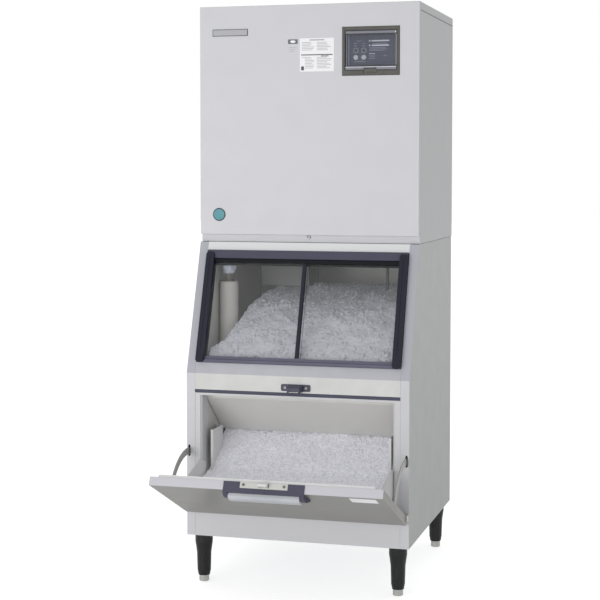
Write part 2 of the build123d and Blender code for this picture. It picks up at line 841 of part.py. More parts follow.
with BuildPart() as handle_housing:
    # Cap over the top edge, open in the middle for the strike plate
    with BuildSketch(door_section(-handle_half)):
        with BuildLine():
            Polyline(
                *folded([(DOOR_HIGH, DOOR_IN + 1), (DOOR_HIGH, DOOR_OUT), (handle_foot, DOOR_OUT)], -3.0),
                close=True,
            )
        make_face()
    extrude(amount=2 * handle_half)
    with BuildSketch(door.offset(DOOR_IN)):
        with Locations((0, DOOR_HIGH)):
            Rectangle(2 * block_inner, 20)
    extrude(amount=DOOR_OUT - DOOR_IN - 7, mode=Mode.SUBTRACT)
    # Cheeks beside the grip
    for edge in (-1, 1):
        with BuildSketch(door_section(edge * cheek_inner)):
            with BuildLine():
                Polyline(
                    (handle_foot, DOOR_OUT + 2),
                    (DOOR_HIGH + 3, DOOR_OUT + 2),
                    (DOOR_HIGH + 3, DOOR_OUT + 6),
                )
                ThreePointArc(
                    (DOOR_HIGH + 3, DOOR_OUT + 6),
                    (DOOR_HIGH - 6, DOOR_OUT + 14),
                    (DOOR_HIGH - 22, DOOR_OUT + 17),
                )
                Polyline(
                    (DOOR_HIGH - 22, DOOR_OUT + 17),
                    (DOOR_HIGH - 40, DOOR_OUT + 16),
                    (handle_foot + 4, DOOR_OUT + 5),
                    (handle_foot, DOOR_OUT + 2),
                )
            make_face()
        extrude(amount=edge * (handle_half - cheek_inner))
    # Bar over the grip
    with BuildSketch(door_section(-handle_half + 6)):
        with Locations((DOOR_HIGH - 0.5, DOOR_OUT + 3.5)):
            Rectangle(7, 7)
    extrude(amount=2 * handle_half - 12)
    with BuildSketch(door_section(-cheek_inner - 8)):
        with Locations(grip_axis):
            Circle(trunnion + RUNNING)
    extrude(amount=2 * cheek_inner + 16, mode=Mode.SUBTRACT)
handle_housing.part.label = "handle_housing"
export_step(handle_housing.part, "parts/handle_housing.step")

# Ribbed squeeze grip that hangs on its own trunnions in the housing
grip_half = cheek_inner - 0.8
rib_count = 5
rib_pitch = 5.0
rib_depth = 0.7

with BuildPart() as handle_grip:
    with BuildSketch(door_section(-grip_half)):
        with BuildLine():
            ThreePointArc(
                (grip_axis[0] + 3, grip_axis[1] + 5),
                (grip_axis[0] - 1, grip_axis[1] + 10),
                (grip_axis[0] - 9, grip_axis[1] + 13),
            )
            Polyline(
                (grip_axis[0] - 9, grip_axis[1] + 13),
                (grip_axis[0] - 36, grip_axis[1] + 12),
                (grip_axis[0] - 37, grip_axis[1] + 8),
                (grip_axis[0] - 10, grip_axis[1] + 9),
                (grip_axis[0] - 6, grip_axis[1] - 3),
                (grip_axis[0] + 3, grip_axis[1] - 3),
                (grip_axis[0] + 3, grip_axis[1] + 5),
            )
        make_face()
        # Grooves that leave ribs along the grip
        for index in range(rib_count):
            with Locations((grip_axis[0] - 12 - rib_pitch * index, grip_axis[1] + 13 - rib_depth / 2)):
                Rectangle(1.6, rib_depth, mode=Mode.SUBTRACT)
    extrude(amount=2 * grip_half)
    with BuildSketch(door_section(-cheek_inner - 7)):
        with Locations(grip_axis):
            Circle(trunnion)
    extrude(amount=2 * cheek_inner + 14)
handle_grip.part.label = "handle_grip"
export_step(handle_grip.part, "parts/handle_grip.step")

# Strike plate with the latch tongue through it
with BuildPart() as strike_plate:
    with BuildSketch(door_section(-block_inner + 0.6)):
        with Locations((DOOR_HIGH + 1, (DOOR_IN + DOOR_OUT - 7) / 2 + 0.5)):
            Rectangle(2, DOOR_OUT - DOOR_IN - 8.5)
    extrude(amount=2 * block_inner - 1.2)
    with BuildSketch(door.offset(tongue_w - tongue_depth / 2 - 0.5)):
        with Locations((0, DOOR_HIGH)):
            Rectangle(tongue_width + 1, 20)
    extrude(amount=tongue_depth + 1, mode=Mode.SUBTRACT)
strike_plate.part.label = "strike_plate"
export_step(strike_plate.part, "parts/strike_plate.step")

with BuildPart() as latch_tongue:
    with BuildSketch(door_section(-tongue_width / 2)):
        with BuildLine():
            Polyline(
                (tongue_root, tongue_w - tongue_depth / 2),
                (tongue_root, tongue_w + tongue_depth / 2),
                (DOOR_HIGH + tongue_out, tongue_w + tongue_depth / 2),
                (DOOR_HIGH + tongue_out, tongue_w),
                (DOOR_HIGH + tongue_out - 6, tongue_w - tongue_depth / 2),
                close=True,
            )
        make_face()
    extrude(amount=tongue_width)
    chamfer(latch_tongue.edges().filter_by(Axis(door.origin, door.y_dir)), 1.2)
latch_tongue.part.label = "latch_tongue"
export_step(latch_tongue.part, "parts/latch_tongue.step")

# Screws of the door (strike plate and handle cheeks) and of the cabinet (collar and catch)
plate_screw = 4.2
cheek_screw = 2.8
head_height = 1.9
door_screw_places = [
    (door.from_local_coords((x, DOOR_HIGH + 2, tongue_w)), door.y_dir, plate_screw) for x in (-60.0, 60.0)
]
for edge in (-1, 1):
    cheek_side = Vector(edge * handle_half, 0, 0) + door_section(0).from_local_coords(handle_screw)
    door_screw_places.append((cheek_side, Vector(edge, 0, 0), cheek_screw))
cabinet_screw_places = [(Vector(0, COLLAR_FRONT, 1071), Vector(0, -1, 0), plate_screw)]
for x, z in catch_screws:
    cabinet_screw_places.append((Vector(x, FRONT - 3, z), Vector(0, -1, 0), plate_screw))

for name, places in (("door_screws", door_screw_places), ("cabinet_screws", cabinet_screw_places)):
    with BuildPart() as screws:
        for centre, outwards, radius in places:
            with BuildSketch(Plane(origin=centre, z_dir=outwards)):
                Circle(radius)
            extrude(amount=head_height)
    screws.part.label = name
    export_step(screws.part, f"parts/{name}.step")

# Stored ice: the heap in the bin, and the part lying on the open door
ice_half = 292.0
with BuildPart() as ice_bed:
    with BuildSketch(side.offset(-ice_half)):
        with BuildLine():
            Polyline(
                (284, LINER_FLOOR + 1),
                (-200, LINER_FLOOR + 1),
                (-312, LINER_FLOOR + 1),
                (-312, 345),
                (-204, 412),
                (-150, 446),
                (-140, 462),
                (baffle_front[0] + 6, baffle_front[1] + 12),
                (-318, 640),
                (-304, 706),
                (-270, 760),
                (-180, 838),
                (-90, 880),
                (20, 897),
                (150, 902),
                (284, 880),
                close=True,
            )
        make_face()
    extrude(amount=2 * ice_half)
    # The heap falls away towards the drain pipe on the left
    with BuildSketch(Plane.XZ.offset(320)):
        with BuildLine():
            Polyline(
                (-ice_half - 1, 726),
                (-236, 770),
                (-150, 892),
                (-110, 925),
                (-ice_half - 1, 925),
                close=True,
            )
        make_face()
    extrude(amount=-620, mode=Mode.SUBTRACT)
    # Clear of the drain pipe
    with BuildSketch(Plane.XY.offset(sleeve_bend)):
        with Locations((drain_x, drain_y)):
            Circle(sleeve_radius + 0.5)
    extrude(amount=sleeve_top - sleeve_bend, mode=Mode.SUBTRACT)
    with BuildSketch(Plane.XY.offset(sleeve_bend)):
        with Locations((drain_x, drain_y)):
            Circle(sleeve_radius + 0.5)
    sweep(path=sleeve_path.line, mode=Mode.SUBTRACT)
    with BuildSketch(Plane.XY.offset(sleeve_foot + 1)):
        with Locations((drain_x, drain_low_y)):
            Circle(pipe_radius + 0.5)
    extrude(amount=LINER_FLOOR - sleeve_foot - 2, mode=Mode.SUBTRACT)
    # Clear of the ice guides
    for edge in (-1, 1):
        with BuildSketch(Plane.XY.offset(LINER_FLOOR)):
            with Locations((edge * (guide_inner + ice_half) / 2, (guide_back - 320) / 2)):
                Rectangle(ice_half - guide_inner + 1, guide_back + 321)
        extrude(amount=guide_top + 1 - LINER_FLOOR, mode=Mode.SUBTRACT)
    with BuildSketch(Plane.XY.offset(tube_end - 5)):
        with Locations((tube_x, tube_y)):
            Circle(tube_radius + 0.5)
    extrude(amount=60, mode=Mode.SUBTRACT)
ice_bed.part.label = "ice_bed"
export_step(ice_bed.part, "parts/ice_bed.step")

with BuildPart() as ice_front:
    with BuildSketch(side.offset(-cheek_x + cheek_wall + 3)):
        with BuildLine():
            Polyline(
                (-314, LINER_FLOOR + 60),
                (-330, LINER_FLOOR + 62),
                (-362, 282),
                (-470, 330),
                (-400, 336),
                (-314, 345),
                close=True,
            )
        make_face()
    extrude(amount=2 * (cheek_x - cheek_wall - 3))
ice_front.part.label = "ice_front"
export_step(ice_front.part, "parts/ice_front.step")

# Head: base with collar, side panels, back, top cover and front panel
collar_half = HALF - SHEET - 0.2
with BuildPart() as head_base:
    with BuildSketch(side.offset(-collar_half)):
        with BuildLine():
            Polyline(
                *folded(
                    [
                        (COLLAR_FRONT + 18, COLLAR_BOTTOM),
                        (COLLAR_FRONT, COLLAR_BOTTOM),
                        (COLLAR_FRONT, HEAD_FLOOR),
                        (HEAD_BACK - SHEET - 0.2, HEAD_FLOOR),
                        (HEAD_BACK - SHEET - 0.2, COLLAR_BOTTOM),
                        (HEAD_BACK - 20, COLLAR_BOTTOM),
                    ],
                    -SHEET,
                ),
                close=True,
            )
        make_face()
    extrude(amount=2 * collar_half)
    with BuildSketch(Plane.XY.offset(HEAD_FLOOR + 10)):
        with Locations(((chute_left + chute_right) / 2, (chute_front + chute_back) / 2)):
            Rectangle(chute_right - chute_left + 4, chute_back - chute_front + 4)
    extrude(amount=-60, mode=Mode.SUBTRACT)
head_base.part.label = "head_base"
export_step(head_base.part, "parts/head_base.step")

side_top = HEAD_TOP - COVER_SKIRT - 0.4
louvre_height = 6.0
for name, edge in (("head_side_left", -1), ("head_side_right", 1)):
    with BuildPart() as panel:
        with BuildSketch(Plane.XY.offset(COLLAR_BOTTOM)):
            with BuildLine():
                Polyline(
                    *folded(
                        [
                            (edge * (HALF - 14), HEAD_BACK - SHEET - 0.3),
                            (edge * HALF, HEAD_BACK - SHEET - 0.3),
                            (edge * HALF, COLLAR_FRONT + 0.3),
                            (edge * (HALF - 14), COLLAR_FRONT + 0.3),
                        ],
                        -edge * SHEET,
                    ),
                    close=True,
                )
            make_face()
        extrude(amount=side_top - COLLAR_BOTTOM)
        # Notch round the base collar
        with BuildSketch(Plane.XY.offset(COLLAR_BOTTOM - 1)):
            Rectangle(2 * (HALF - SHEET), 2 * HALF + 40)
        extrude(amount=HEAD_FLOOR - COLLAR_BOTTOM + 2, mode=Mode.SUBTRACT)
        if edge < 0:
            with BuildSketch(Plane.YZ.offset(-HALF - 5)):
                with Locations((60, 1330)):
                    with GridLocations(170, 20, 2, 15):
                        Rectangle(150, louvre_height)
            extrude(amount=10, mode=Mode.SUBTRACT)
    panel.part.label = name
    export_step(panel.part, f"parts/{name}.step")

inlet = (-230.0, 1180.0)
outlets = ((-120.0, 1110.0), (-60.0, 1110.0))
gland = (230.0, 1150.0)
with BuildPart() as head_back:
    with BuildSketch(Plane.XZ.offset(-HEAD_BACK)):
        with Locations((0, (COLLAR_BOTTOM + side_top) / 2)):
            Rectangle(2 * HALF, side_top - COLLAR_BOTTOM)
        with Locations((60, 1480)):
            with GridLocations(230, 22, 2, 18):
                Rectangle(200, louvre_height, mode=Mode.SUBTRACT)
        with Locations(inlet):
            Circle(14, mode=Mode.SUBTRACT)
        with Locations(*outlets):
            Circle(13, mode=Mode.SUBTRACT)
        with Locations(gland):
            Circle(10, mode=Mode.SUBTRACT)
    extrude(amount=SHEET)
head_back.part.label = "head_back"
export_step(head_back.part, "parts/head_back.step")

with BuildPart() as head_top:
    with BuildSketch(Plane.XY.offset(side_top + 0.4)):
        with Locations((0, (COLLAR_FRONT + 0.3 + HEAD_BACK) / 2)):
            Rectangle(WIDTH, HEAD_BACK - COLLAR_FRONT - 0.3)
    extrude(amount=COVER_SKIRT)
    fillet(head_top.edges().group_by(Axis.Z)[-1], 1.5)
    offset(amount=-SHEET, openings=head_top.faces().sort_by(Axis.Z)[0])
head_top.part.label = "head_top"
export_step(head_top.part, "parts/head_top.step")

bezel_mid = ((BEZEL_LEFT + BEZEL_RIGHT) / 2, (BEZEL_LOW + BEZEL_HIGH) / 2)
bezel_width = BEZEL_RIGHT - BEZEL_LEFT
bezel_height = BEZEL_HIGH - BEZEL_LOW
with BuildPart() as front_panel:
    with BuildSketch(Plane.XZ.offset(-COLLAR_FRONT)):
        with Locations((0, (PANEL_BOTTOM + HEAD_TOP) / 2)):
            Rectangle(WIDTH, HEAD_TOP - PANEL_BOTTOM)
    extrude(amount=PANEL_DEPTH)
    fillet(front_panel.edges().group_by(Axis.Y)[0], 1.5)
    offset(amount=-SHEET, openings=front_panel.faces().sort_by(Axis.Y)[-1])
    with BuildSketch(Plane.XZ.offset(-HEAD_FRONT + 5)):
        with Locations(bezel_mid):
            Rectangle(bezel_width - 6, bezel_height - 6)
    extrude(amount=-12, mode=Mode.SUBTRACT)
front_panel.part.label = "front_panel"
export_step(front_panel.part, "parts/front_panel.step")

# Control window: bezel, printed panel, smoked flap, two buttons
flap_left = BEZEL_LEFT + 10.6
flap_right = BEZEL_RIGHT - 10.6
flap_high = BEZEL_HIGH - 13.6
flap_low = BEZEL_LOW + 17.6
flap_axis_y = HEAD_FRONT + 1.0
flap_axis_z = flap_high - 4.0
tab_left = BEZEL_LEFT + 67.5
tab_right = BEZEL_LEFT + 108.0
tab_drop = 9.5
panel_face = HEAD_FRONT + 9.0

with BuildPart() as control_bezel:
    with BuildSketch(Plane.XZ.offset(-HEAD_FRONT)):
        with Locations(bezel_mid):
            Rectangle(bezel_width, bezel_height)
    extrude(amount=3)
    chamfer(control_bezel.faces().sort_by(Axis.Y)[0].edges(), 2)
    with BuildSketch(Plane.XZ.offset(-HEAD_FRONT)):
        with Locations(bezel_mid):
            Rectangle(bezel_width - 7, bezel_height - 7)
    extrude(amount=-11)
    with BuildSketch(Plane.XZ.offset(-HEAD_FRONT + 4)):
        with Locations(((flap_left + flap_right) / 2, (flap_low + flap_high) / 2)):
            Rectangle(flap_right - flap_left + 1.6, flap_high - flap_low + 1.6)
    extrude(amount=-16, mode=Mode.SUBTRACT)
    # Notch for the flap's finger tab
    with BuildSketch(Plane.XZ.offset(-HEAD_FRONT + 4)):
        with Locations(((tab_left + tab_right) / 2, flap_low)):
            Rectangle(tab_right - tab_left + 1.6, 2 * tab_drop + 1.6)
    extrude(amount=-8, mode=Mode.SUBTRACT)
    with BuildSketch(side.offset(flap_left - 3)):
        with Locations((flap_axis_y, flap_axis_z)):
            Circle(trunnion + RUNNING)
    extrude(amount=flap_right - flap_left + 6, mode=Mode.SUBTRACT)
control_bezel.part.label = "control_bezel"
export_step(control_bezel.part, "parts/control_bezel.step")

button_radius = 7.5
button_z = BEZEL_HIGH - 93.0
lamp_z = BEZEL_HIGH - 72.0
button_xs = (BEZEL_LEFT + 41.0, BEZEL_LEFT + 66.0)
with BuildPart() as control_panel:
    with BuildSketch(Plane.XZ.offset(-panel_face - 2)):
        with Locations(((flap_left + flap_right) / 2, (flap_low + flap_high) / 2)):
            Rectangle(flap_right - flap_left + 0.8, flap_high - flap_low + 0.8)
        with Locations(*[(x, button_z) for x in button_xs]):
            Circle(button_radius + 0.5, mode=Mode.SUBTRACT)
    extrude(amount=2)
    # Indicator lamps stand slightly proud
    with BuildSketch(Plane.XZ.offset(-panel_face)):
        with Locations(*[(x, lamp_z) for x in button_xs]):
            Circle(button_radius)
    extrude(amount=0.8)
control_panel.part.label = "control_panel"
export_step(control_panel.part, "parts/control_panel.step")

for name, x in (("run_button", button_xs[0]), ("stop_button", button_xs[1])):
    with BuildPart() as button:
        with BuildSketch(Plane.XZ.offset(-panel_face - 5)):
            with Locations((x, button_z)):
                Circle(button_radius)
        extrude(amount=7)
        chamfer(button.faces().sort_by(Axis.Y)[0].edges(), 0.6)
    button.part.label = name
    export_step(button.part, f"parts/{name}.step")

with BuildPart() as control_flap:
    with BuildSketch(Plane.XZ.offset(-flap_axis_y - 1.0)):
        with Locations(((flap_left + flap_right) / 2, (flap_low + flap_high) / 2)):
            Rectangle(flap_right - flap_left, flap_high - flap_low)
    extrude(amount=2)
    # Thicker bars along the hinge and the lower edge, and the finger tab
    with BuildSketch(Plane.XZ.offset(-flap_axis_y + 2.2)):
        with Locations(((flap_left + flap_right) / 2, flap_axis_z)):
            Rectangle(flap_right - flap_left, 8)
        with Locations(((flap_left + flap_right) / 2, flap_low + 5)):
            Rectangle(flap_right - flap_left, 10)
        with Locations(((tab_left + tab_right) / 2, flap_low + 4 - (4 + tab_drop) / 2)):
            Rectangle(tab_right - tab_left, 4 + tab_drop)
    extrude(amount=-4.4)
    with BuildSketch(side.offset(flap_left - 2.4)):
        with Locations((flap_axis_y, flap_axis_z)):
            Circle(trunnion)
    extrude(amount=flap_right - flap_left + 4.8)
control_flap.part.label = "control_flap"
export_step(control_flap.part, "parts/control_flap.step")

# Freezing unit: gear motor, insulated barrel, auger with breaker head, ice chute
shaft_radius = 14.0
with BuildPart() as gear_motor:
    with BuildSketch(Plane.XY.offset(HEAD_FLOOR)):
        with Locations((AUGER_X, AUGER_Y)):
            RectangleRounded(150, 130, 20)
        with Locations((AUGER_X + 110, AUGER_Y)):
            Circle(58)
    extrude(amount=90)
    with BuildSketch(Plane.XY.offset(HEAD_FLOOR + 90)):
        with Locations((AUGER_X + 110, AUGER_Y)):
            Circle(54)
    extrude(amount=70)
    with BuildSketch(Plane.XY.offset(HEAD_FLOOR + 90)):
        with Locations((AUGER_X, AUGER_Y)):
            Circle(48)
    extrude(amount=BARREL_BOTTOM - HEAD_FLOOR - 90)
    with BuildSketch(Plane.XY.offset(HEAD_FLOOR + 60)):
        with Locations((AUGER_X, AUGER_Y)):
            Circle(shaft_radius + RUNNING)
    extrude(amount=BARREL_BOTTOM - HEAD_FLOOR - 60, mode=Mode.SUBTRACT)
gear_motor.part.label = "gear_motor"
export_step(gear_motor.part, "parts/gear_motor.step")

with BuildPart() as evaporator:
    with BuildSketch(Plane.XY.offset(BARREL_BOTTOM)):
        with Locations((AUGER_X, AUGER_Y)):
            Circle(72)
            Circle(BARREL_BORE, mode=Mode.SUBTRACT)
    extrude(amount=BARREL_TOP - BARREL_BOTTOM)
    chamfer(evaporator.edges().group_by(Axis.Z)[-1].sort_by(SortBy.RADIUS)[-1], 8)
evaporator.part.label = "evaporator"
export_step(evaporator.part, "parts/evaporator.step")

core_radius = 22.0
flight_radius = 34.4
flight_width = 5.0
flight_pitch = 62.0
flight_low = BARREL_BOTTOM + 18.0
flight_height = BARREL_TOP - BARREL_BOTTOM - 44.0
with BuildPart() as auger:
    with BuildSketch(Plane.XZ.offset(-AUGER_Y)):
        with BuildLine():
            Polyline(
                (AUGER_X, HEAD_FLOOR + 62),
                (AUGER_X + shaft_radius, HEAD_FLOOR + 62),
                (AUGER_X + shaft_radius, BARREL_BOTTOM + 2),
                (AUGER_X + core_radius, BARREL_BOTTOM + 12),
                (AUGER_X + core_radius, BARREL_TOP - 20),
                (AUGER_X + shaft_radius, BARREL_TOP - 8),
                (AUGER_X + shaft_radius, BARREL_TOP + 46),
                (AUGER_X, BARREL_TOP + 46),
                close=True,
            )
        make_face()
    revolve(axis=Axis((AUGER_X, AUGER_Y, 0), (0, 0, 1)))
    # Helical flight that lifts the ice off the bore
    with BuildLine():
        flight_path = Helix(flight_pitch, flight_height, core_radius, center=(AUGER_X, AUGER_Y, flight_low))
    with BuildSketch(Plane(origin=flight_path @ 0, x_dir=(1, 0, 0), z_dir=flight_path % 0)):
        with Locations(((flight_radius - core_radius) / 2 - 0.5, 0)):
            Rectangle(flight_radius - core_radius + 1, flight_width)
    sweep(is_frenet=True)
    # Breaker that throws the ice into the chute
    with BuildSketch(Plane.XY.offset(BARREL_TOP + 12)):
        with Locations((AUGER_X, AUGER_Y)):
            Circle(26)
            with PolarLocations(0, 3):
                with Locations((26, 0)):
                    Rectangle(36, 9)
    extrude(amount=26)
auger.part.label = "auger"
export_step(auger.part, "parts/auger.step")

chute_wall = 3.0
chute_low = 905.0
mouth_right = -53.0
spout_top = BARREL_TOP + 60.0
paddle_axis = (chute_front + 20.0, 1500.0)
paddle_pin = 3.0
with BuildPart() as ice_chute:
    # Flared mouth hanging in the bin
    with BuildSketch(Plane.XY.offset(chute_low)):
        with Locations(((chute_left + mouth_right) / 2, (chute_front + chute_back) / 2)):
            Rectangle(mouth_right - chute_left, chute_back - chute_front)
    with BuildSketch(Plane.XY.offset(COLLAR_BOTTOM)):
        with Locations(((chute_left + chute_right) / 2, (chute_front + chute_back) / 2)):
            Rectangle(chute_right - chute_left, chute_back - chute_front)
    loft()
    # Duct up through the head and the spout bowl round the breaker
    with BuildSketch(Plane.XY.offset(COLLAR_BOTTOM)):
        with Locations(((chute_left + chute_right) / 2, (chute_front + chute_back) / 2)):
            Rectangle(chute_right - chute_left, chute_back - chute_front)
    extrude(amount=spout_top - COLLAR_BOTTOM)
    with BuildSketch(Plane.XY.offset(BARREL_TOP)):
        with Locations((AUGER_X, AUGER_Y)):
            Circle(60)
        with Locations(((chute_right + AUGER_X) / 2, AUGER_Y - 35)):
            Rectangle(AUGER_X - chute_right, 50)
        with Locations(((chute_right + AUGER_X) / 2, AUGER_Y - 30)):
            Rectangle(AUGER_X - chute_right, 60)
    extrude(amount=spout_top - BARREL_TOP)
    # Hollow
    with BuildSketch(Plane.XY.offset(chute_low)):
        with Locations(((chute_left + mouth_right) / 2, (chute_front + chute_back) / 2)):
            Rectangle(mouth_right - chute_left - 2 * chute_wall, chute_back - chute_front - 2 * chute_wall)
    with BuildSketch(Plane.XY.offset(COLLAR_BOTTOM)):
        with Locations(((chute_left + chute_right) / 2, (chute_front + chute_back) / 2)):
            Rectangle(chute_right - chute_left - 2 * chute_wall, chute_back - chute_front - 2 * chute_wall)
    loft(mode=Mode.SUBTRACT)
    with BuildSketch(Plane.XY.offset(COLLAR_BOTTOM)):
        with Locations(((chute_left + chute_right) / 2, (chute_front + chute_back) / 2)):
            Rectangle(chute_right - chute_left - 2 * chute_wall, chute_back - chute_front - 2 * chute_wall)
    extrude(amount=spout_top - COLLAR_BOTTOM - chute_wall, mode=Mode.SUBTRACT)
    with BuildSketch(Plane.XY.offset(BARREL_TOP + chute_wall)):
        with Locations((AUGER_X, AUGER_Y)):
            Circle(60 - chute_wall)
        with Locations(((chute_right - 10 + AUGER_X) / 2, AUGER_Y - 30)):
            Rectangle(AUGER_X - chute_right + 10, 54)
    extrude(amount=spout_top - BARREL_TOP - 2 * chute_wall, mode=Mode.SUBTRACT)
    with BuildSketch(Plane.XY.offset(BARREL_TOP - 1)):
        with Locations((AUGER_X, AUGER_Y)):
            Circle(BARREL_BORE)
    extrude(amount=10, mode=Mode.SUBTRACT)
    with BuildSketch(side.offset(chute_left - 1)):
        with Locations(paddle_axis):
            Circle(paddle_pin + RUNNING)
    extrude(amount=chute_right - chute_left + 2, mode=Mode.SUBTRACT)
ice_chute.part.label = "ice_chute"
export_step(ice_chute.part, "parts/ice_chute.step")

# Paddle in the chute that stops the machine when the bin is full
with BuildPart() as chute_paddle:
    with BuildSketch(side.offset(chute_left + 14)):
        with BuildLine():
            Polyline(
                *folded(
                    [
                        (paddle_axis[0] + 1, paddle_axis[1] + 2),
                        (paddle_axis[0] + 1, paddle_axis[1] - 70),
                        (paddle_axis[0] + 14, paddle_axis[1] - 96),
                    ],
                    2.0,
                ),
                close=True,
            )
        make_face()
    extrude(amount=chute_right - chute_left - 28)
    with BuildSketch(side.offset(chute_left + 0.5)):
        with Locations(paddle_axis):
            Circle(paddle_pin)
    extrude(amount=chute_right - chute_left - 1)
chute_paddle.part.label = "chute_paddle"
export_step(chute_paddle.part, "parts/chute_paddle.step")

# Refrigeration: compressor with its lines, condenser with shroud, fan and motor
shell_x = 225.0
shell_y = -60.0
with BuildPart() as compressor:
    with BuildSketch(Plane.XZ.offset(-shell_y)):
        with BuildLine():
            Polyline(
                (shell_x, HEAD_FLOOR + 205),
                (shell_x, HEAD_FLOOR + 16),
                (shell_x + 66, HEAD_FLOOR + 16),
                (shell_x + 82, HEAD_FLOOR + 40),
                (shell_x + 82, HEAD_FLOOR + 150),
                (shell_x + 70, HEAD_FLOOR + 182),
                (shell_x + 38, HEAD_FLOOR + 200),
                close=True,
            )
        make_face()
    revolve(axis=Axis((shell_x, shell_y, 0), (0, 0, 1)))
    with BuildSketch(Plane.XY.offset(HEAD_FLOOR)):
        with Locations((shell_x, shell_y)):
            with GridLocations(150, 150, 2, 2):
                RegularPolygon(14, 8)
    extrude(amount=16)
    with BuildSketch(Plane.XY.offset(HEAD_FLOOR + 12)) as base_plate:
        with Locations((shell_x, shell_y)):
            Rectangle(186, 186)
        chamfer(base_plate.vertices(), 16)
    extrude(amount=6)
compressor.part.label = "compressor"
export_step(compressor.part, "parts/compressor.step")

coil_x = -340.0
coil_y = 60.0
coil_z = 1330.0
coil_depth = 30.0
coil_half = 150.0
shroud_depth = 30.0
fan_x = -296.0
fan_radius = 118.0
fan_bore = 5.0
blade_pitch = radians(30.0)
with BuildPart() as condenser:
    with BuildSketch(side.offset(coil_x)):
        with Locations((coil_y, coil_z)):
            Rectangle(2 * coil_half, 2 * coil_half)
    extrude(amount=coil_depth)
    # Fin gaps on the intake side
    with BuildSketch(side.offset(coil_x)):
        with Locations((coil_y, coil_z)):
            with GridLocations(12, 1, 24, 1):
                Rectangle(7, 2 * coil_half - 20)
    extrude(amount=12, mode=Mode.SUBTRACT)
    # Shroud drawn in to the fan ring
    with BuildSketch(side.offset(coil_x + coil_depth)):
        with Locations((coil_y, coil_z)):
            Rectangle(2 * coil_half, 2 * coil_half)
            Circle(fan_radius + 5, mode=Mode.SUBTRACT)
    extrude(amount=shroud_depth)
condenser.part.label = "condenser"
export_step(condenser.part, "parts/condenser.step")

with BuildPart() as fan:
    with BuildSketch(side.offset(fan_x - 6)):
        with Locations((coil_y, coil_z)):
            Circle(30)
            Circle(fan_bore + RUNNING, mode=Mode.SUBTRACT)
    extrude(amount=24)
    for index in range(5):
        spoke = 72.0 * index
        blade_plane = Plane(
            origin=(fan_x + 6, coil_y, coil_z),
            x_dir=(0, cos(radians(spoke)), sin(radians(spoke))),
            z_dir=(
                cos(blade_pitch),
                -sin(blade_pitch) * sin(radians(spoke)),
                sin(blade_pitch) * cos(radians(spoke)),
            ),
        )
        with BuildSketch(blade_plane):
            with BuildLine():
                Polyline(
                    (26, -14),
                    (60, -26),
                    (106, -30),
                    (112, -12),
                    (108, 22),
                    (70, 24),
                    (26, 14),
                    close=True,
                )
            make_face()
        extrude(amount=1.2, both=True)
    with BuildSketch(side.offset(fan_x - 16)):
        with Locations((coil_y, coil_z)):
            Circle(fan_bore + RUNNING)
    extrude(amount=60, mode=Mode.SUBTRACT)
fan.part.label = "fan"
export_step(fan.part, "parts/fan.step")

with BuildPart() as fan_motor:
    with BuildSketch(side.offset(fan_x + 24)):
        with Locations((coil_y, coil_z)):
            Circle(36)
    extrude(amount=32)
    with BuildSketch(side.offset(fan_x - 8)):
        with Locations((coil_y, coil_z)):
            Circle(fan_bore)
    extrude(amount=34)
    with BuildSketch(side.offset(fan_x + 44)):
        with Locations((coil_y, coil_z)):
            Rectangle(2 * coil_half - 4, 24)
    extrude(amount=4)
    for y in (coil_y - coil_half + 6, coil_y + coil_half - 6):
        with BuildSketch(side.offset(coil_x + coil_depth + shroud_depth)):
            with Locations((y, coil_z)):
                Rectangle(8, 24)
        extrude(amount=fan_x + 44 - coil_x - coil_depth - shroud_depth)
fan_motor.part.label = "fan_motor"
export_step(fan_motor.part, "parts/fan_motor.step")

# Water reservoir beside the barrel, with its float
tank_x = 240.0
tank_y = 210.0
tank_z = 1440.0
tank_size = (110.0, 130.0, 90.0)
tank_wall = 3.0
float_axis = (tank_y + 40.0, tank_z + 74.0)
float_pin = 2.5
with BuildPart() as water_reservoir:
    with BuildSketch(Plane.XY.offset(tank_z)):
        with Locations((tank_x, tank_y)):
            RectangleRounded(tank_size[0], tank_size[1], 10)
    extrude(amount=tank_size[2])
    offset(amount=-tank_wall, openings=water_reservoir.faces().sort_by(Axis.Z)[-1])
    # Bracket to the side panel
    with BuildSketch(Plane.XY.offset(tank_z + 10)):
        with Locations(((tank_x + tank_size[0] / 2 + HALF - SHEET - 0.5) / 2, tank_y)):
            Rectangle(HALF - SHEET - 0.5 - tank_x - tank_size[0] / 2, 60)
    extrude(amount=4)
    with BuildSketch(side.offset(tank_x - tank_size[0] / 2 - 1)):
        with Locations(float_axis):
            Circle(float_pin + RUNNING)
    extrude(amount=tank_size[0] + 2, mode=Mode.SUBTRACT)
water_reservoir.part.label = "water_reservoir"
export_step(water_reservoir.part, "parts/water_reservoir.step")

with BuildPart() as float_arm:
    with BuildSketch(side.offset(tank_x - 25)):
        with Locations((tank_y - 25, tank_z + 52)):
            RectangleRounded(46, 28, 8)
    extrude(amount=50)
    with BuildSketch(side.offset(tank_x - 3)):
        with BuildLine():
            Polyline(
                (tank_y - 8, tank_z + 62),
                (tank_y - 8, tank_z + 70),
                (float_axis[0], float_axis[1] + 4),
                (float_axis[0] + 4, float_axis[1]),
                (float_axis[0], float_axis[1] - 4),
                close=True,
            )
        make_face()
    extrude(amount=6)
    with BuildSketch(side.offset(tank_x - tank_size[0] / 2 + 0.5)):
        with Locations(float_axis):
            Circle(float_pin)
    extrude(amount=tank_size[0] - 1)
float_arm.part.label = "float_arm"
export_step(float_arm.part, "parts/float_arm.step")

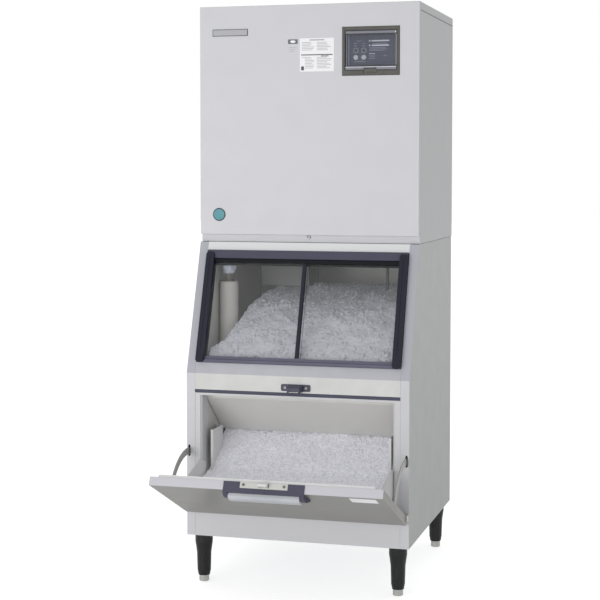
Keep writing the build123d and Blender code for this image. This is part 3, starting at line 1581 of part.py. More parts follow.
# Electrical box behind the control window
with BuildPart() as control_box:
    with BuildSketch(Plane.XZ.offset(-(COLLAR_FRONT + 8))):
        with Locations((bezel_mid[0] - 20, bezel_mid[1])):
            Rectangle(250, 190)
    extrude(amount=-90)
    fillet(control_box.edges().filter_by(Axis.Y), 4)
control_box.part.label = "control_box"
export_step(control_box.part, "parts/control_box.step")

# Rear connections: water inlet, two drains, empty cable gland
with BuildPart() as rear_fittings:
    for place, bore, body in ((inlet, 8, 13), (outlets[0], 8, 12), (outlets[1], 8, 12), (gland, 5, 9)):
        with BuildSketch(Plane.XZ.offset(-HEAD_BACK - 12)):
            with Locations(place):
                Circle(body)
                Circle(bore, mode=Mode.SUBTRACT)
        extrude(amount=34)
        with BuildSketch(Plane.XZ.offset(-HEAD_BACK - 3)):
            with Locations(place):
                RegularPolygon(body + 5, 6)
                Circle(bore, mode=Mode.SUBTRACT)
        extrude(amount=3)
rear_fittings.part.label = "rear_fittings"
export_step(rear_fittings.part, "parts/rear_fittings.step")
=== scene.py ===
import math
import random

import bmesh
import bpy
from mathutils import Euler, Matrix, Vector, noise


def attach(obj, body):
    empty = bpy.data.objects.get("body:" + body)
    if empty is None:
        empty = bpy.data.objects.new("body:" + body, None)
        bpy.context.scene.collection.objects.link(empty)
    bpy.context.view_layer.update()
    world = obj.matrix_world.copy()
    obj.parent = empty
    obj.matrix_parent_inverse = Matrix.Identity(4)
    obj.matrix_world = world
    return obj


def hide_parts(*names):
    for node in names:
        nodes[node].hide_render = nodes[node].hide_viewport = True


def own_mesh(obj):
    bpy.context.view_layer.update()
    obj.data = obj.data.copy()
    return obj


# Flake ice machine: finishes for every solid, loose ice, plates and prints.
# Metres, in the frame of the solids: +Z up, front faces -Y, origin on the floor.

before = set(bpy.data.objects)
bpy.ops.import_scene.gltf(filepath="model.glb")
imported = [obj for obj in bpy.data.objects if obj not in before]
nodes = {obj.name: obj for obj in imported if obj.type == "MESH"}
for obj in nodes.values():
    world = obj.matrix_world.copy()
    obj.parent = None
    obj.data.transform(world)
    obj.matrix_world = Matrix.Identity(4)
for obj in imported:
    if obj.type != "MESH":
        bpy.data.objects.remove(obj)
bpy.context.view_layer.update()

# Places and angles shared with the solids
HEAD_FRONT = -0.214  # face of the head's front panel
HEAD_FOOT = -0.1990  # face of the rail under it, with the screw
HINGE_Y = -0.365  # axis of the door's hinge
HINGE_Z = 0.2488
DOOR_OPEN = math.radians(65.15)
DOOR_FACE = 0.021  # outer face of the door, from the hinge's axis
STRIKE_FACE = 0.3491  # face of the strike plate, up the door from the hinge's axis
CATCH_FACE = -0.353  # face of the catch bracket
CATCH_Z = 0.6235
PANEL_FACE = -0.205  # face of the printed control panel
BEZEL_LEFT = 0.109
BEZEL_RIGHT = 0.289
BEZEL_LOW = 1.569
BEZEL_HIGH = 1.718
SEAM_SHADE_HIGH = 1.7658  # upper edge of the dark line at the seam round the head's top, partly the seam and partly painted shade under the top cover
MID_FOLD = 0.657  # where the sheet over the door bends back into the slope
SLOPE_FOOT = 0.66  # the sloping front edges of the wrap start here
HEADER_LIP = 1.0070  # under this the window header turns inwards
LINER_RIM = 0.975  # over this the lining's front rim is in the header's shade
LINER_RIM_BACK = -0.19
WALL_RIM = 1.0  # over this the insulation shows under the head
GUIDE_FRONT = -0.3085  # the ice guides in the lower opening
GUIDE_INSIDE = 0.2785
GUIDE_OUTSIDE = 0.287


# Materials
def srgb(value):
    """Linear value of a 0 to 255 screen value."""
    v = value / 255
    return v / 12.92 if v <= 0.04045 else ((v + 0.055) / 1.055) ** 2.4


def colour(r, g, b):
    return (srgb(r), srgb(g), srgb(b), 1.0)


# Sockets of the mix node when it mixes colours
MIX_SHARE, MIX_LOW, MIX_HIGH, MIX_RESULT = 0, 6, 7, 2
# Most of a noise lies between these values
NOISE_LOW, NOISE_HIGH = 0.3, 0.7
# Half the height over which one band of colour changes to the next
BAND_EDGE = 0.0004
# Stretches of a noise: even, or in fine lines that run upright, level, or from side to side
EVEN = (1, 1, 1)
UPRIGHT = (60, 1, 1)
LEVEL = (1, 1, 60)
SIDEWAYS = (1, 60, 60)


class Finish:
    """A material with a Principled surface and a few helpers to vary it."""

    def __init__(self, name, base, rough, metal=0.0, **sockets):
        self.material = bpy.data.materials.new(name)
        self.material.use_nodes = True
        self.tree = self.material.node_tree
        self.shader = self.tree.nodes["Principled BSDF"]
        self.base = base
        self.set("Base Color", base)
        self.set("Roughness", rough)
        self.set("Metallic", metal)
        for key, value in sockets.items():
            self.set(key.replace("_", " "), value)
        self.place = self.tree.nodes.new("ShaderNodeTexCoord").outputs["Object"]
        self.height = None

    def set(self, socket, value):
        self.shader.inputs[socket].default_value = value

    def add(self, kind, **inputs):
        made = self.tree.nodes.new(kind)
        for key, value in inputs.items():
            made.inputs[key.replace("_", " ")].default_value = value
        return made

    def link(self, a, b):
        self.tree.links.new(a, b)

    def noise(self, scale, detail, stretch=EVEN):
        """A noise value over the object, finer along the stretched axes."""
        mapping = self.add("ShaderNodeMapping", Scale=stretch)
        self.link(self.place, mapping.inputs["Vector"])
        made = self.add("ShaderNodeTexNoise", Scale=scale, Detail=detail, Roughness=0.5)
        self.link(mapping.outputs["Vector"], made.inputs["Vector"])
        return made.outputs["Fac"]

    def ramp(self, value, low, high, start=0.0, end=1.0):
        """Maps a value from low..high to start..end."""
        made = self.add("ShaderNodeMapRange", From_Min=low, From_Max=high, To_Min=start, To_Max=end)
        self.link(value, made.inputs["Value"])
        return made.outputs["Result"]

    def axis(self, name):
        """One coordinate of the point, in the frame of the object."""
        split = self.add("ShaderNodeSeparateXYZ")
        self.link(self.place, split.inputs["Vector"])
        return split.outputs[name]

    def mix(self, share, low, high, kind="MIX"):
        """Mixes two colours, each of them a constant or a socket."""
        made = self.add("ShaderNodeMix")
        made.data_type = "RGBA"
        made.blend_type = kind
        self.link(share, made.inputs[MIX_SHARE])
        for value, socket in ((low, MIX_LOW), (high, MIX_HIGH)):
            if isinstance(value, bpy.types.NodeSocket):
                self.link(value, made.inputs[socket])
            else:
                made.inputs[socket].default_value = value
        return made.outputs[MIX_RESULT]

    def clouds(self, scale, detail):
        """A noise value spread over 0 to 1."""
        return self.ramp(self.noise(scale, detail), NOISE_LOW, NOISE_HIGH)

    def tint(self, value, low, high):
        """Base colour from low to high."""
        self.link(self.mix(value, low, high), self.shader.inputs["Base Color"])

    def mottle(self, scale, detail, dark, light):
        """Clouds the base colour between dark and light shares of itself."""
        low = [min(1.0, c * dark) for c in self.base[:3]] + [1.0]
        high = [min(1.0, c * light) for c in self.base[:3]] + [1.0]
        self.tint(self.clouds(scale, detail), low, high)

    def bands(self, steps, first, drift_to):
        """Bands of height: first at the bottom, then each step's colour from its height up.

        The whole drifts in clouds down to the share drift_to of itself.
        """
        below = first
        for height, above in steps:
            edge = self.ramp(self.axis("Z"), height - BAND_EDGE, height + BAND_EDGE)
            below = self.mix(edge, below, above)
        drift = (drift_to, drift_to, drift_to, 1)
        drifted = self.mix(self.clouds(12, 4.0), below, drift, "MULTIPLY")
        self.link(drifted, self.shader.inputs["Base Color"])

    def shade_back(self, share, front, back):
        """Painted shade: the base colour falls to a share of itself from front to back."""
        base = self.shader.inputs["Base Color"]
        full = base.links[0].from_socket
        back_shade = (share, share, share, 1)
        self.link(self.mix(self.ramp(self.axis("Y"), front, back), full, back_shade, "MULTIPLY"), base)

    def vary_roughness(self, value, low, high):
        """Roughness from low to high over a noise value."""
        ramp = self.ramp(value, NOISE_LOW, NOISE_HIGH, low, high)
        self.link(ramp, self.shader.inputs["Roughness"])

    def bump(self, value, distance, strength):
        """Raises the surface by a value, on top of the bumps that it already has."""
        made = self.add("ShaderNodeBump", Strength=strength, Distance=distance)
        self.link(value, made.inputs["Height"])
        if self.height is not None:
            self.link(self.height, made.inputs["Normal"])
        self.height = made.outputs["Normal"]
        self.link(self.height, self.shader.inputs["Normal"])


def sheet_metal(name, base, rough, metal, grain=LEVEL, depth=0.00004):
    """Satin sheet: fine grain along one way, faint clouding, uneven gloss."""
    made = Finish(name, base, rough, metal)
    made.mottle(5, 3.0, dark=0.994, light=1.003)
    made.vary_roughness(made.noise(14, 4.0), rough - 0.02, rough + 0.03)
    made.bump(made.noise(90, 2.0, grain), depth, 0.5)
    made.bump(made.noise(900, 1.0), depth * 0.6, 0.3)
    return made.material


def banded(name, steps, first, rough, metal=0.0, depth=0.00006, drift_to=0.90):
    """Sheet or moulding whose colour changes at set heights, with a fine grain."""
    made = Finish(name, first, rough, metal)
    made.bands(steps, first, drift_to)
    made.vary_roughness(made.noise(20, 4.0), rough - 0.02, rough + 0.04)
    made.bump(made.noise(500, 2.0), depth, 0.5)
    return made.material


def faded(name, low, high, rough, metal):
    """Satin sheet whose tone drifts evenly from its foot at the floor to a metre up."""
    made = Finish(name, high, rough, metal)
    made.tint(made.ramp(made.axis("Z"), 0.05, 1.0), low, high)
    made.vary_roughness(made.noise(14, 4.0), rough - 0.05, rough + 0.06)
    made.bump(made.noise(90, 2.0, LEVEL), 0.00004, 0.5)
    return made.material


def moulding(name, base, rough, grain=700, depth=0.00006, dark=0.93, light=1.05, **sockets):
    """Moulded plastic: fine spark grain, slight colour drift, uneven gloss."""
    made = Finish(name, base, rough, **sockets)
    made.mottle(9, 3.0, dark, light)
    made.vary_roughness(made.noise(26, 4.0), max(0.03, rough - 0.06), rough + 0.07)
    made.bump(made.noise(grain, 2.0), depth, 0.5)
    return made.material


def clean_moulding(name, base, rough, dark=0.98):
    """Moulded plastic of an even colour."""
    return moulding(name, base, rough, 300, 0.00005, dark, 1.01)


def printed(name, base, rough=0.5, grain=400):
    """Print, card or film: almost flat."""
    return moulding(name, base, rough, grain, 0.00002)


def paint(name, base, rough):
    """Sprayed paint with a light orange-peel."""
    made = Finish(name, base, rough)
    made.mottle(12, 4.0, dark=0.9, light=1.06)
    made.vary_roughness(made.noise(30, 4.0), max(0.05, rough - 0.08), rough + 0.1)
    made.bump(made.noise(260, 2.0), 0.0001, 0.5)
    return made.material


def cast(name, base, rough):
    """Cast and painted metal with a pitted skin."""
    made = Finish(name, base, rough, metal=0.2)
    made.mottle(20, 5.0, dark=0.8, light=1.12)
    made.vary_roughness(made.noise(60, 4.0), rough - 0.1, rough + 0.12)
    made.bump(made.noise(180, 6.0), 0.0006, 0.6)
    return made.material


def turned(name, base, rough):
    """Turned or polished metal: fine rings and worn patches."""
    made = Finish(name, base, rough, metal=0.85)
    made.mottle(40, 4.0, dark=0.9, light=1.05)
    made.vary_roughness(made.noise(70, 4.0), max(0.05, rough - 0.07), rough + 0.1)
    made.bump(made.noise(60, 2.0, (1, 1, 90)), 0.00005, 0.5)
    return made.material


def foam(name, base, scale=300):
    """Open-celled foam or felt: matt, mottled and pitted."""
    made = Finish(name, base, 0.85)
    made.mottle(25, 4.0, dark=0.88, light=1.06)
    cells = made.add("ShaderNodeTexVoronoi", Scale=scale)
    made.link(made.place, cells.inputs["Vector"])
    made.bump(cells.outputs["Distance"], 0.0008, 0.6)
    return made.material


def pane(name, base, alpha, rough=0.04):
    """Clear sheet: see-through by 1 - alpha, glossy, with faint smears in its gloss."""
    made = Finish(name, base, rough, Alpha=alpha)
    made.set("IOR", 1.5)
    made.vary_roughness(made.noise(7, 5.0), rough, rough + 0.06)
    made.mottle(4, 2.0, dark=0.95, light=1.05)
    return made.material


# Where the painted shade on the ice starts at its front, and where it is full at its back
ICE_FRONT_Y, ICE_BACK_Y = -0.24, 0.14


def ice(name, base, clear, rough, painted_glow, back_shade=1.0):
    """Wet granular ice, cloudy from grain to grain, with painted shade that darkens it towards the back.

    A share clear of the light passes through it, painted_glow is a painted glow that stands in for
    light scattered inside it, and back_shade is the share of its colour that the painted shade leaves at
    the back.
    """
    made = Finish(name, base, rough)
    made.set("IOR", 1.31)
    made.set("Specular IOR Level", 0.6)
    made.set("Transmission Weight", clear)
    # Painted glow: emission that stands in for light scattered inside the ice
    made.set("Emission Color", base)
    made.set("Emission Strength", painted_glow)
    made.tint(
        made.ramp(made.noise(95, 3.0), 0.32, 0.68),
        (base[0] * 0.91, base[1] * 0.92, base[2] * 0.93, 1),
        (min(1, base[0] * 1.07), min(1, base[1] * 1.06), min(1, base[2] * 1.05), 1),
    )
    # Painted shade, darker towards the back of the bin
    made.shade_back(back_shade, ICE_FRONT_Y, ICE_BACK_Y)
    made.vary_roughness(made.noise(60, 3.0), rough - 0.06, rough + 0.2)
    made.bump(made.noise(420, 3.0), 0.0003, 0.3)
    return made.material


finishes = {
    "front": sheet_metal("front_steel", colour(204, 204, 208), 0.5, 0.12, UPRIGHT),
    # Head sides: a thin dark line at the seam under the top cover, partly the seam and partly painted shade
    "side": banded(
        "side_steel",
        [(SEAM_SHADE_HIGH - 0.0030, colour(122, 122, 126)), (SEAM_SHADE_HIGH, colour(203, 204, 205))],
        colour(203, 204, 205),
        rough=0.5,
        metal=0.12,
        depth=0.00004,
        drift_to=0.985,
    ),
    # Painted shade: the wrap's sides get a darker copy of the front steel, darker still towards the floor
    "wrap_side_shaded": faded("wrap_side_shaded", colour(178, 180, 179), colour(195, 197, 197), 0.5, 0.12),
    # Painted tone: the wrap's sloping edges lean back and get a darker, bluer copy of the front steel, a
    # painted sky reflection; also used on the insulation's rim under the head
    "wrap_slope_sky_tone": sheet_metal("wrap_slope_sky_tone", colour(182, 183, 191), 0.5, 0.12),
    "zinc": sheet_metal("zinc_sheet", colour(176, 180, 182), 0.5, 0.6, EVEN, 0.0001),
    # Painted shade: the door's face looks down and gets a darker copy of the steel
    "door": sheet_metal("door_sheet_shaded", colour(150, 149, 145), 0.36, 0.35, UPRIGHT),
    # Painted reflection of the sky on the door's upper edge
    "door_edge_sky_sheen": sheet_metal("door_edge_sky_sheen", colour(205, 205, 211), 0.42, 0.25, UPRIGHT),
    "navy": moulding("navy_moulding", colour(70, 70, 89), 0.5),
    "jamb": moulding("jamb_moulding", colour(27, 28, 45), 0.5, Specular_IOR_Level=0.35),
    "sill": moulding("sill_moulding", colour(98, 97, 116), 0.5),
    # Painted shade: near-black for rims in the shade of the header and the head, on the header partly its
    # dark seal
    "rim_shade": moulding("rim_shade_moulding", colour(16, 19, 25), 0.6, Specular_IOR_Level=0.25),
    "baffle": clean_moulding("baffle_sheet", colour(218, 217, 213), 0.4),
    "tongue": sheet_metal("tongue_steel", colour(226, 226, 224), 0.4, 0.2),
    "screw": turned("screw_steel", colour(140, 140, 138), 0.4),
    "gasket": moulding("seal_strip", colour(72, 73, 92), 0.6, 500),
    "white": clean_moulding("white_moulding", colour(226, 226, 226), 0.34),
    "frame": clean_moulding("frame_moulding", colour(207, 207, 209), 0.38),
    "lining": clean_moulding("lining_moulding", colour(206, 205, 202), 0.4, 0.97),
    "foam": foam("wall_foam", colour(222, 205, 160)),
    "pane": pane("window_pane", colour(156, 157, 156), 0.09),
    "smoked": pane("smoked_flap", colour(60, 64, 84), 0.14, 0.08),
    "bezel": moulding("bezel_moulding", colour(80, 78, 71), 0.46, 500),
    "panel": moulding("panel_sheet", colour(80, 84, 101), 0.5, 500),
    "button": moulding("button_caps", colour(206, 210, 220), 0.35),
    "grip": moulding("grip_moulding", colour(190, 193, 198), 0.42, 500),
    "polished": turned("polished_steel", colour(206, 205, 201), 0.24),
    "stay": sheet_metal("stay_steel", colour(176, 176, 172), 0.34, 0.8, SIDEWAYS),
    "leg": moulding("leg_moulding", colour(13, 14, 14), 0.27, 400, 0.00004),
    # Painted light: over the fold the sheet leans back and gets a darker, bluer painted tone, a reflection
    # of the sky
    "mid": banded("bent_sheet_sky_tone", [(MID_FOLD, colour(192, 192, 199))], colour(214, 214, 212), 0.48, 0.12),
    "rail": sheet_metal("rail_sheet", colour(228, 229, 230), 0.45, 0.12, UPRIGHT),
    "plate": sheet_metal("strike_sheet", colour(208, 208, 203), 0.4, 0.3, UPRIGHT),
    "sleeve": banded(
        "pipe_sleeve",
        [
            (0.9300, colour(118, 114, 108)),
            (0.9545, colour(212, 218, 232)),
            (0.9965, colour(128, 126, 122)),
        ],
        colour(214, 212, 208),
        rough=0.5,
    ),
    "tube": moulding("thin_sleeve", colour(92, 94, 92), 0.5),
    "chute": moulding("chute_moulding", colour(110, 111, 110), 0.45, 300),
    "paddle": moulding("small_moulding", colour(214, 215, 214), 0.38),
    "cast": cast("cast_housing", colour(104, 110, 116), 0.5),
    "lagging": foam("black_lagging", colour(44, 44, 46), 500),
    "auger": turned("auger_steel", colour(196, 196, 193), 0.3),
    "black": paint("black_enamel", colour(30, 31, 33), 0.3),
    "fins": sheet_metal("fin_sheet", colour(196, 198, 200), 0.4, 0.8, (1, 200, 1), 0.0003),
    "box": paint("box_paint", colour(200, 200, 196), 0.45),
    "brass": turned("brass_fittings", colour(196, 164, 98), 0.3),
}

looks = {
    "front": ["front_panel", "lower_front_panel", "head_base", "cabinet_wrap"],
    "mid": ["mid_panel"],
    "rail": ["top_rail"],
    "plate": ["strike_plate"],
    "side": ["head_side_left", "head_side_right", "head_top"],
    "zinc": ["head_back", "cabinet_base"],
    "door": ["door_skin"],
    "navy": ["window_header", "handle_housing", "catch_bracket"],
    "sill": ["window_sill"],
    "jamb": ["window_jambs", "centre_stile"],
    "gasket": ["door_gasket"],
    "white": ["door_liner"],
    "baffle": ["baffle"],
    "tongue": ["latch_tongue"],
    "screw": ["door_screws", "cabinet_screws"],
    "frame": ["door_frame"],
    "lining": ["bin_liner"],
    "foam": ["bin_insulation"],
    "pane": ["glass_left", "glass_right"],
    "smoked": ["control_flap"],
    "bezel": ["control_bezel"],
    "panel": ["control_panel"],
    "button": ["run_button", "stop_button"],
    "grip": ["handle_grip"],
    "polished": [
        "hinge_pins",
        "foot_front_left",
        "foot_front_right",
        "foot_back_left",
        "foot_back_right",
    ],
    "stay": ["door_stays"],
    "leg": ["legs"],
    "sleeve": ["drain_pipe"],
    "tube": ["thermostat_tube"],
    "chute": ["ice_chute"],
    "paddle": ["chute_paddle", "float_arm", "water_reservoir"],
    "cast": ["gear_motor"],
    "lagging": ["evaporator"],
    "auger": ["auger"],
    "black": ["compressor", "fan_motor"],
    "fins": ["condenser", "fan"],
    "box": ["control_box"],
    "brass": ["rear_fittings"],
}

for key, members in looks.items():
    for node in members:
        mesh = nodes[node].data
        mesh.materials.clear()
        mesh.materials.append(finishes[key])


# Second finishes on some faces of a solid
def second_finish(node, key, wanted):
    """Gives the faces that are wanted, by their normal and centre, a finish of their own."""
    holder = nodes[node]
    mesh = holder.data
    mesh.materials.append(finishes[key])
    slot = len(mesh.materials) - 1
    spin = holder.matrix_world.to_3x3()
    for face in mesh.polygons:
        if wanted((spin @ face.normal).normalized(), holder.matrix_world @ face.center):
            face.material_index = slot


door_up = Vector((0, -math.sin(DOOR_OPEN), math.cos(DOOR_OPEN)))
door_out = Vector((0, -math.cos(DOOR_OPEN), -math.sin(DOOR_OPEN)))
for node, key, wanted in (
    # Faces of one sheet toned by the way they face: a painted sky reflection on the upper edge of the door,
    # painted shade on the sides of the wrap, and a darker, bluer painted tone on its sloping edges
    ("door_skin", "door_edge_sky_sheen", lambda normal, centre: normal.dot(door_up) > 0.7),
    ("cabinet_wrap", "wrap_side_shaded", lambda normal, centre: abs(normal.x) > 0.9),
    ("cabinet_wrap", "wrap_slope_sky_tone", lambda normal, centre: normal.y < -0.5 and centre.z > SLOPE_FOOT),
    # Rims in the shade of the header and of the head, painted near-black as shade, the header's partly as
    # its dark seal; the insulation's rim under the head takes the slope's sheet finish
    ("window_header", "rim_shade", lambda normal, centre: centre.z < HEADER_LIP and normal.y < 0.5),
    ("bin_liner", "rim_shade", lambda normal, centre: centre.z > LINER_RIM and centre.y < LINER_RIM_BACK),
    ("bin_insulation", "wrap_slope_sky_tone", lambda normal, centre: centre.z > WALL_RIM),
    # The ice guides get the brighter white moulding, painted light that lifts them out of the shade of the
    # lower opening
    (
        "door_frame",
        "white",
        lambda normal, centre: centre.y > GUIDE_FRONT and GUIDE_INSIDE < abs(centre.x) < GUIDE_OUTSIDE,
    ),
):
    second_finish(node, key, wanted)


# Helpers for pieces
def new_piece(name, points, faces, material, body):
    """A flat-shaded mesh piece from points and faces that rides on a body."""
    mesh = bpy.data.meshes.new(name)
    mesh.from_pydata([tuple(p) for p in points], [], faces)
    mesh.update()
    mesh.materials.append(material)
    made = bpy.data.objects.new(name, mesh)
    bpy.context.scene.collection.objects.link(made)
    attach(made, body)
    return made


class Shapes:
    """Collects flat raised shapes on one plane, then makes them one piece."""

    def __init__(self, origin, across, up, outwards):
        self.origin = Vector(origin)
        self.across = Vector(across)
        self.up = Vector(up)
        self.outwards = Vector(outwards)
        self.points = []
        self.faces = []

    def at(self, u, v, w):
        return self.origin + self.across * u + self.up * v + self.outwards * w

    def prism(self, outline, low, high, edge=0.0):
        """Closed prism over an outline, with its front edge drawn in by edge."""
        middle_u = sum(p[0] for p in outline) / len(outline)
        middle_v = sum(p[1] for p in outline) / len(outline)
        rings = [(low, 0.0), (high - edge, 0.0)]
        if edge:
            rings.append((high, edge))
        start = len(self.points)
        count = len(outline)
        for level, inset in rings:
            for u, v in outline:
                du, dv = u - middle_u, v - middle_v
                share = 1 - inset / max(1e-9, math.hypot(du, dv))
                self.points.append(self.at(middle_u + du * share, middle_v + dv * share, level))
        for ring in range(len(rings) - 1):
            a = start + ring * count
            for i in range(count):
                j = (i + 1) % count
                self.faces.append((a + i, a + j, a + count + j, a + count + i))
        self.faces.append(tuple(range(start + count - 1, start - 1, -1)))
        last = start + (len(rings) - 1) * count
        self.faces.append(tuple(range(last, last + count)))

    def bar(self, u0, u1, v0, v1, low, high, edge=0.0):
        """A straight bar from u0 to u1 and v0 to v1."""
        self.prism([(u0, v0), (u1, v0), (u1, v1), (u0, v1)], low, high, edge)

    def oval(self, u, v, half_u, half_v, low, high, edge=0.0, sides=40):
        """An oval or round disc."""
        turn = [2 * math.pi * i / sides for i in range(sides)]
        self.prism([(u + half_u * math.cos(a), v + half_v * math.sin(a)) for a in turn], low, high, edge)

    def ring(self, u, v, outer, inner, low, high, sides=40):
        """A flat ring with square edges."""
        start = len(self.points)
        for i in range(sides):
            a = 2 * math.pi * i / sides
            for radius, level in ((outer, low), (outer, high), (inner, high), (inner, low)):
                self.points.append(self.at(u + radius * math.cos(a), v + radius * math.sin(a), level))
        for i in range(sides):
            here = start + 4 * i
            after = start + 4 * ((i + 1) % sides)
            for k in range(4):
                m = (k + 1) % 4
                self.faces.append((here + k, after + k, after + m, here + m))

    def rounded(self, u0, u1, v0, v1, radius, low, high, edge=0.0):
        """A bar with round corners, each of them in five steps."""
        outline = []
        for cu, cv, first in (
            (u1 - radius, v1 - radius, 0.0),
            (u0 + radius, v1 - radius, 0.5 * math.pi),
            (u0 + radius, v0 + radius, math.pi),
            (u1 - radius, v0 + radius, 1.5 * math.pi),
        ):
            for step in range(6):
                a = first + 0.5 * math.pi * step / 5
                outline.append((cu + radius * math.cos(a), cv + radius * math.sin(a)))
        self.prism(outline, low, high, edge)

    def make(self, name, material, body):
        return new_piece(name, self.points, self.faces, material, body)


def facing_front(y):
    """Shapes on an upright plane that faces the front."""
    return Shapes((0, y, 0), (1, 0, 0), (0, 0, 1), (0, -1, 0))


def on_head():
    return facing_front(HEAD_FRONT)


def on_panel():
    return facing_front(PANEL_FACE)


def inside(box, by):
    """A box of u0, u1, v0, v1, drawn in on all sides."""
    return box[0] + by, box[1] - by, box[2] + by, box[3] - by


hinge = Vector((0, HINGE_Y, HINGE_Z))


# Plates and prints
card_white = moulding("card_white", colour(244, 244, 246), 0.5, 400, 0.00002, 0.98, 1.01)
print_grey = printed("print_grey", colour(178, 178, 184), 0.55)
label_grey = printed("label_grey", colour(104, 106, 112))
print_dark = printed("print_dark", colour(70, 70, 78))
print_light = printed("print_light", colour(226, 229, 240))
print_dim = printed("print_dim", colour(160, 163, 180))
roundel_field = printed("roundel_field", colour(52, 140, 150), 0.3, 300)
dark_rim = moulding("dark_rim", colour(42, 50, 62), 0.45)
plate_field = sheet_metal("plate_field", colour(172, 172, 176), 0.5, 0.2, UPRIGHT, 0.00002)

# From, to: how far a plate, its field, a card and print on the card stand out of the head
RIM = (-0.0002, 0.0016)
FIELD = (0.0, 0.0022)
CARD = (-0.0001, 0.0004)
INK = (0.0, 0.0006)

BADGE_BOX = (-0.308, -0.193, 1.698, 1.719)
plate = on_head()
plate.bar(*BADGE_BOX, *RIM, 0.0005)
plate.make("badge_plate_rim", dark_rim, "cabinet")
plate = on_head()
plate.bar(*inside(BADGE_BOX, 0.0016), *FIELD, 0.0005)
plate.make("badge_plate", plate_field, "cabinet")

ROUNDEL_X, ROUNDEL_Z = -0.288, 1.142
for name, radius, rise, material in (
    ("roundel_rim", 0.0205, RIM, dark_rim),
    ("roundel", 0.0176, FIELD, roundel_field),
):
    disc = on_head()
    disc.oval(ROUNDEL_X, ROUNDEL_Z, radius, radius, *rise, 0.0006)
    disc.make(name, material, "cabinet")

# Notice card: blank rows in two columns, one heavy rule, plain blocks
card = on_head()
card.bar(-0.025, 0.083, 1.584, 1.686, *CARD)
card.make("notice_card", card_white, "cabinet")
ROWS_HIGH, ROWS_LOW = 1.672, 1.592
RULE_GAP_LOW, RULE_GAP_HIGH = 1.627, 1.645
INDENT_BELOW = 1.622
rows = on_head()
row_draw = random.Random(4)
row = ROWS_HIGH
while row > ROWS_LOW:
    if not RULE_GAP_LOW < row < RULE_GAP_HIGH:
        left = -0.019 + (0.010 if row < INDENT_BELOW else 0.0)
        for start, stop in ((left, 0.022), (0.029, 0.077)):
            end = start + (stop - start) * row_draw.uniform(0.62, 1.0)
            rows.bar(start, end, row, row + 0.0017, *INK)
    row -= 0.0046
rows.bar(0.006, 0.052, 1.6785, 1.6822, *INK)
rows.make("notice_rows", print_grey, "cabinet")
marks = on_head()
for box in (
    (-0.021, 0.079, 1.6335, 1.6365),
    (-0.021, -0.012, 1.588, 1.600),
    (0.042, 0.066, 1.6295, 1.6320),
):
    marks.bar(*box, *INK)
marks.make("notice_marks", print_dark, "cabinet")

# Small label beside the card: three rows, a grey field with a white oval
label = on_head()
for row, end in ((1.658, -0.036), (1.652, -0.040), (1.646, -0.043)):
    label.bar(-0.060, end, row, row + 0.0015, -0.0001, 0.0003)
label.make("small_label", print_grey, "cabinet")
label = on_head()
label.rounded(-0.063, -0.032, 1.6695, 1.6835, 0.0015, -0.0001, 0.0005)
label.make("small_label_field", label_grey, "cabinet")
label = on_head()
label.oval(-0.0475, 1.6765, 0.0085, 0.0040, 0.0, 0.0008, sides=32)
label.make("small_label_oval", card_white, "cabinet")

# Blank strip on the door's outer face
strip = Shapes(hinge + door_out * DOOR_FACE, (1, 0, 0), door_up, door_out)
strip.rounded(0.245, 0.322, 0.285, 0.330, 0.003, *CARD)
strip.make("door_strip", card_white, "door")

# Print on the control panel: lamp rings and plain rows, from the bezel's upper left corner
PANEL_INK = (0.0, 0.0003)


def panel_row(shapes, drop, left, width, thick):
    """A row of print whose lower edge lies drop below the corner."""
    u, v = BEZEL_LEFT + left, BEZEL_HIGH - drop
    shapes.bar(u, u + width, v, v + thick, *PANEL_INK)


light = on_panel()
for step in (0.041, 0.066):
    light.ring(BEZEL_LEFT + step, BEZEL_HIGH - 0.072, 0.0077, 0.0069, 0.0006, 0.0011)
for drop, width in ((0.0455, 0.055), (0.0595, 0.0539)):
    panel_row(light, drop, 0.082, 0.004, 0.004)
    panel_row(light, drop, 0.090, width, 0.004)
panel_row(light, 0.083, 0.082, 0.019, 0.0018)
light.make("panel_print", print_light, "cabinet")
dim = on_panel()
for drop, left, width in (
    (0.0525, 0.094, 0.046),
    (0.0655, 0.082, 0.052),
    (0.0695, 0.084, 0.056),
    (0.0735, 0.083, 0.048),
    (0.0445, 0.043, 0.018),
    (0.0515, 0.035, 0.009),
    (0.0515, 0.061, 0.009),
    (0.0590, 0.034, 0.010),
    (0.0590, 0.061, 0.010),
    (0.0880, 0.082, 0.018),
    (0.0930, 0.082, 0.018),
    (0.0980, 0.082, 0.018),
    (0.1060, 0.036, 0.036),
    (0.0900, 0.127, 0.012),
):
    panel_row(dim, drop, left, width, 0.0016)
dim.make("panel_rows", print_dim, "cabinet")

# Flap: solid bars at its hinge and lower edge, dark joints beside them, painted highlights along its right
# edge, over its lower bar and at the top bar's right end
FLAP_LEFT = BEZEL_LEFT + 0.0106
FLAP_RIGHT = BEZEL_RIGHT - 0.0106
FLAP_HIGH = BEZEL_HIGH - 0.0136
FLAP_LOW = BEZEL_LOW + 0.0176
TAB_LEFT = BEZEL_LEFT + 0.0675
TAB_RIGHT = BEZEL_LEFT + 0.108
# The bars' ends, just inside the flap's
BAR_LEFT = FLAP_LEFT + 0.0004
BAR_RIGHT = FLAP_RIGHT - 0.0004
# The clear part of the flap, between its joints
CLEAR_LOW = FLAP_LOW + 0.0135
CLEAR_HIGH = FLAP_HIGH - 0.0115
# From, to: pieces that stand on the flap, and pieces in its face
ON_FLAP = (0.0008, 0.00145)
IN_FLAP = (-0.0002, 0.0004)
bar_grey = printed("bar_grey", colour(112, 113, 124), 0.22, 500)
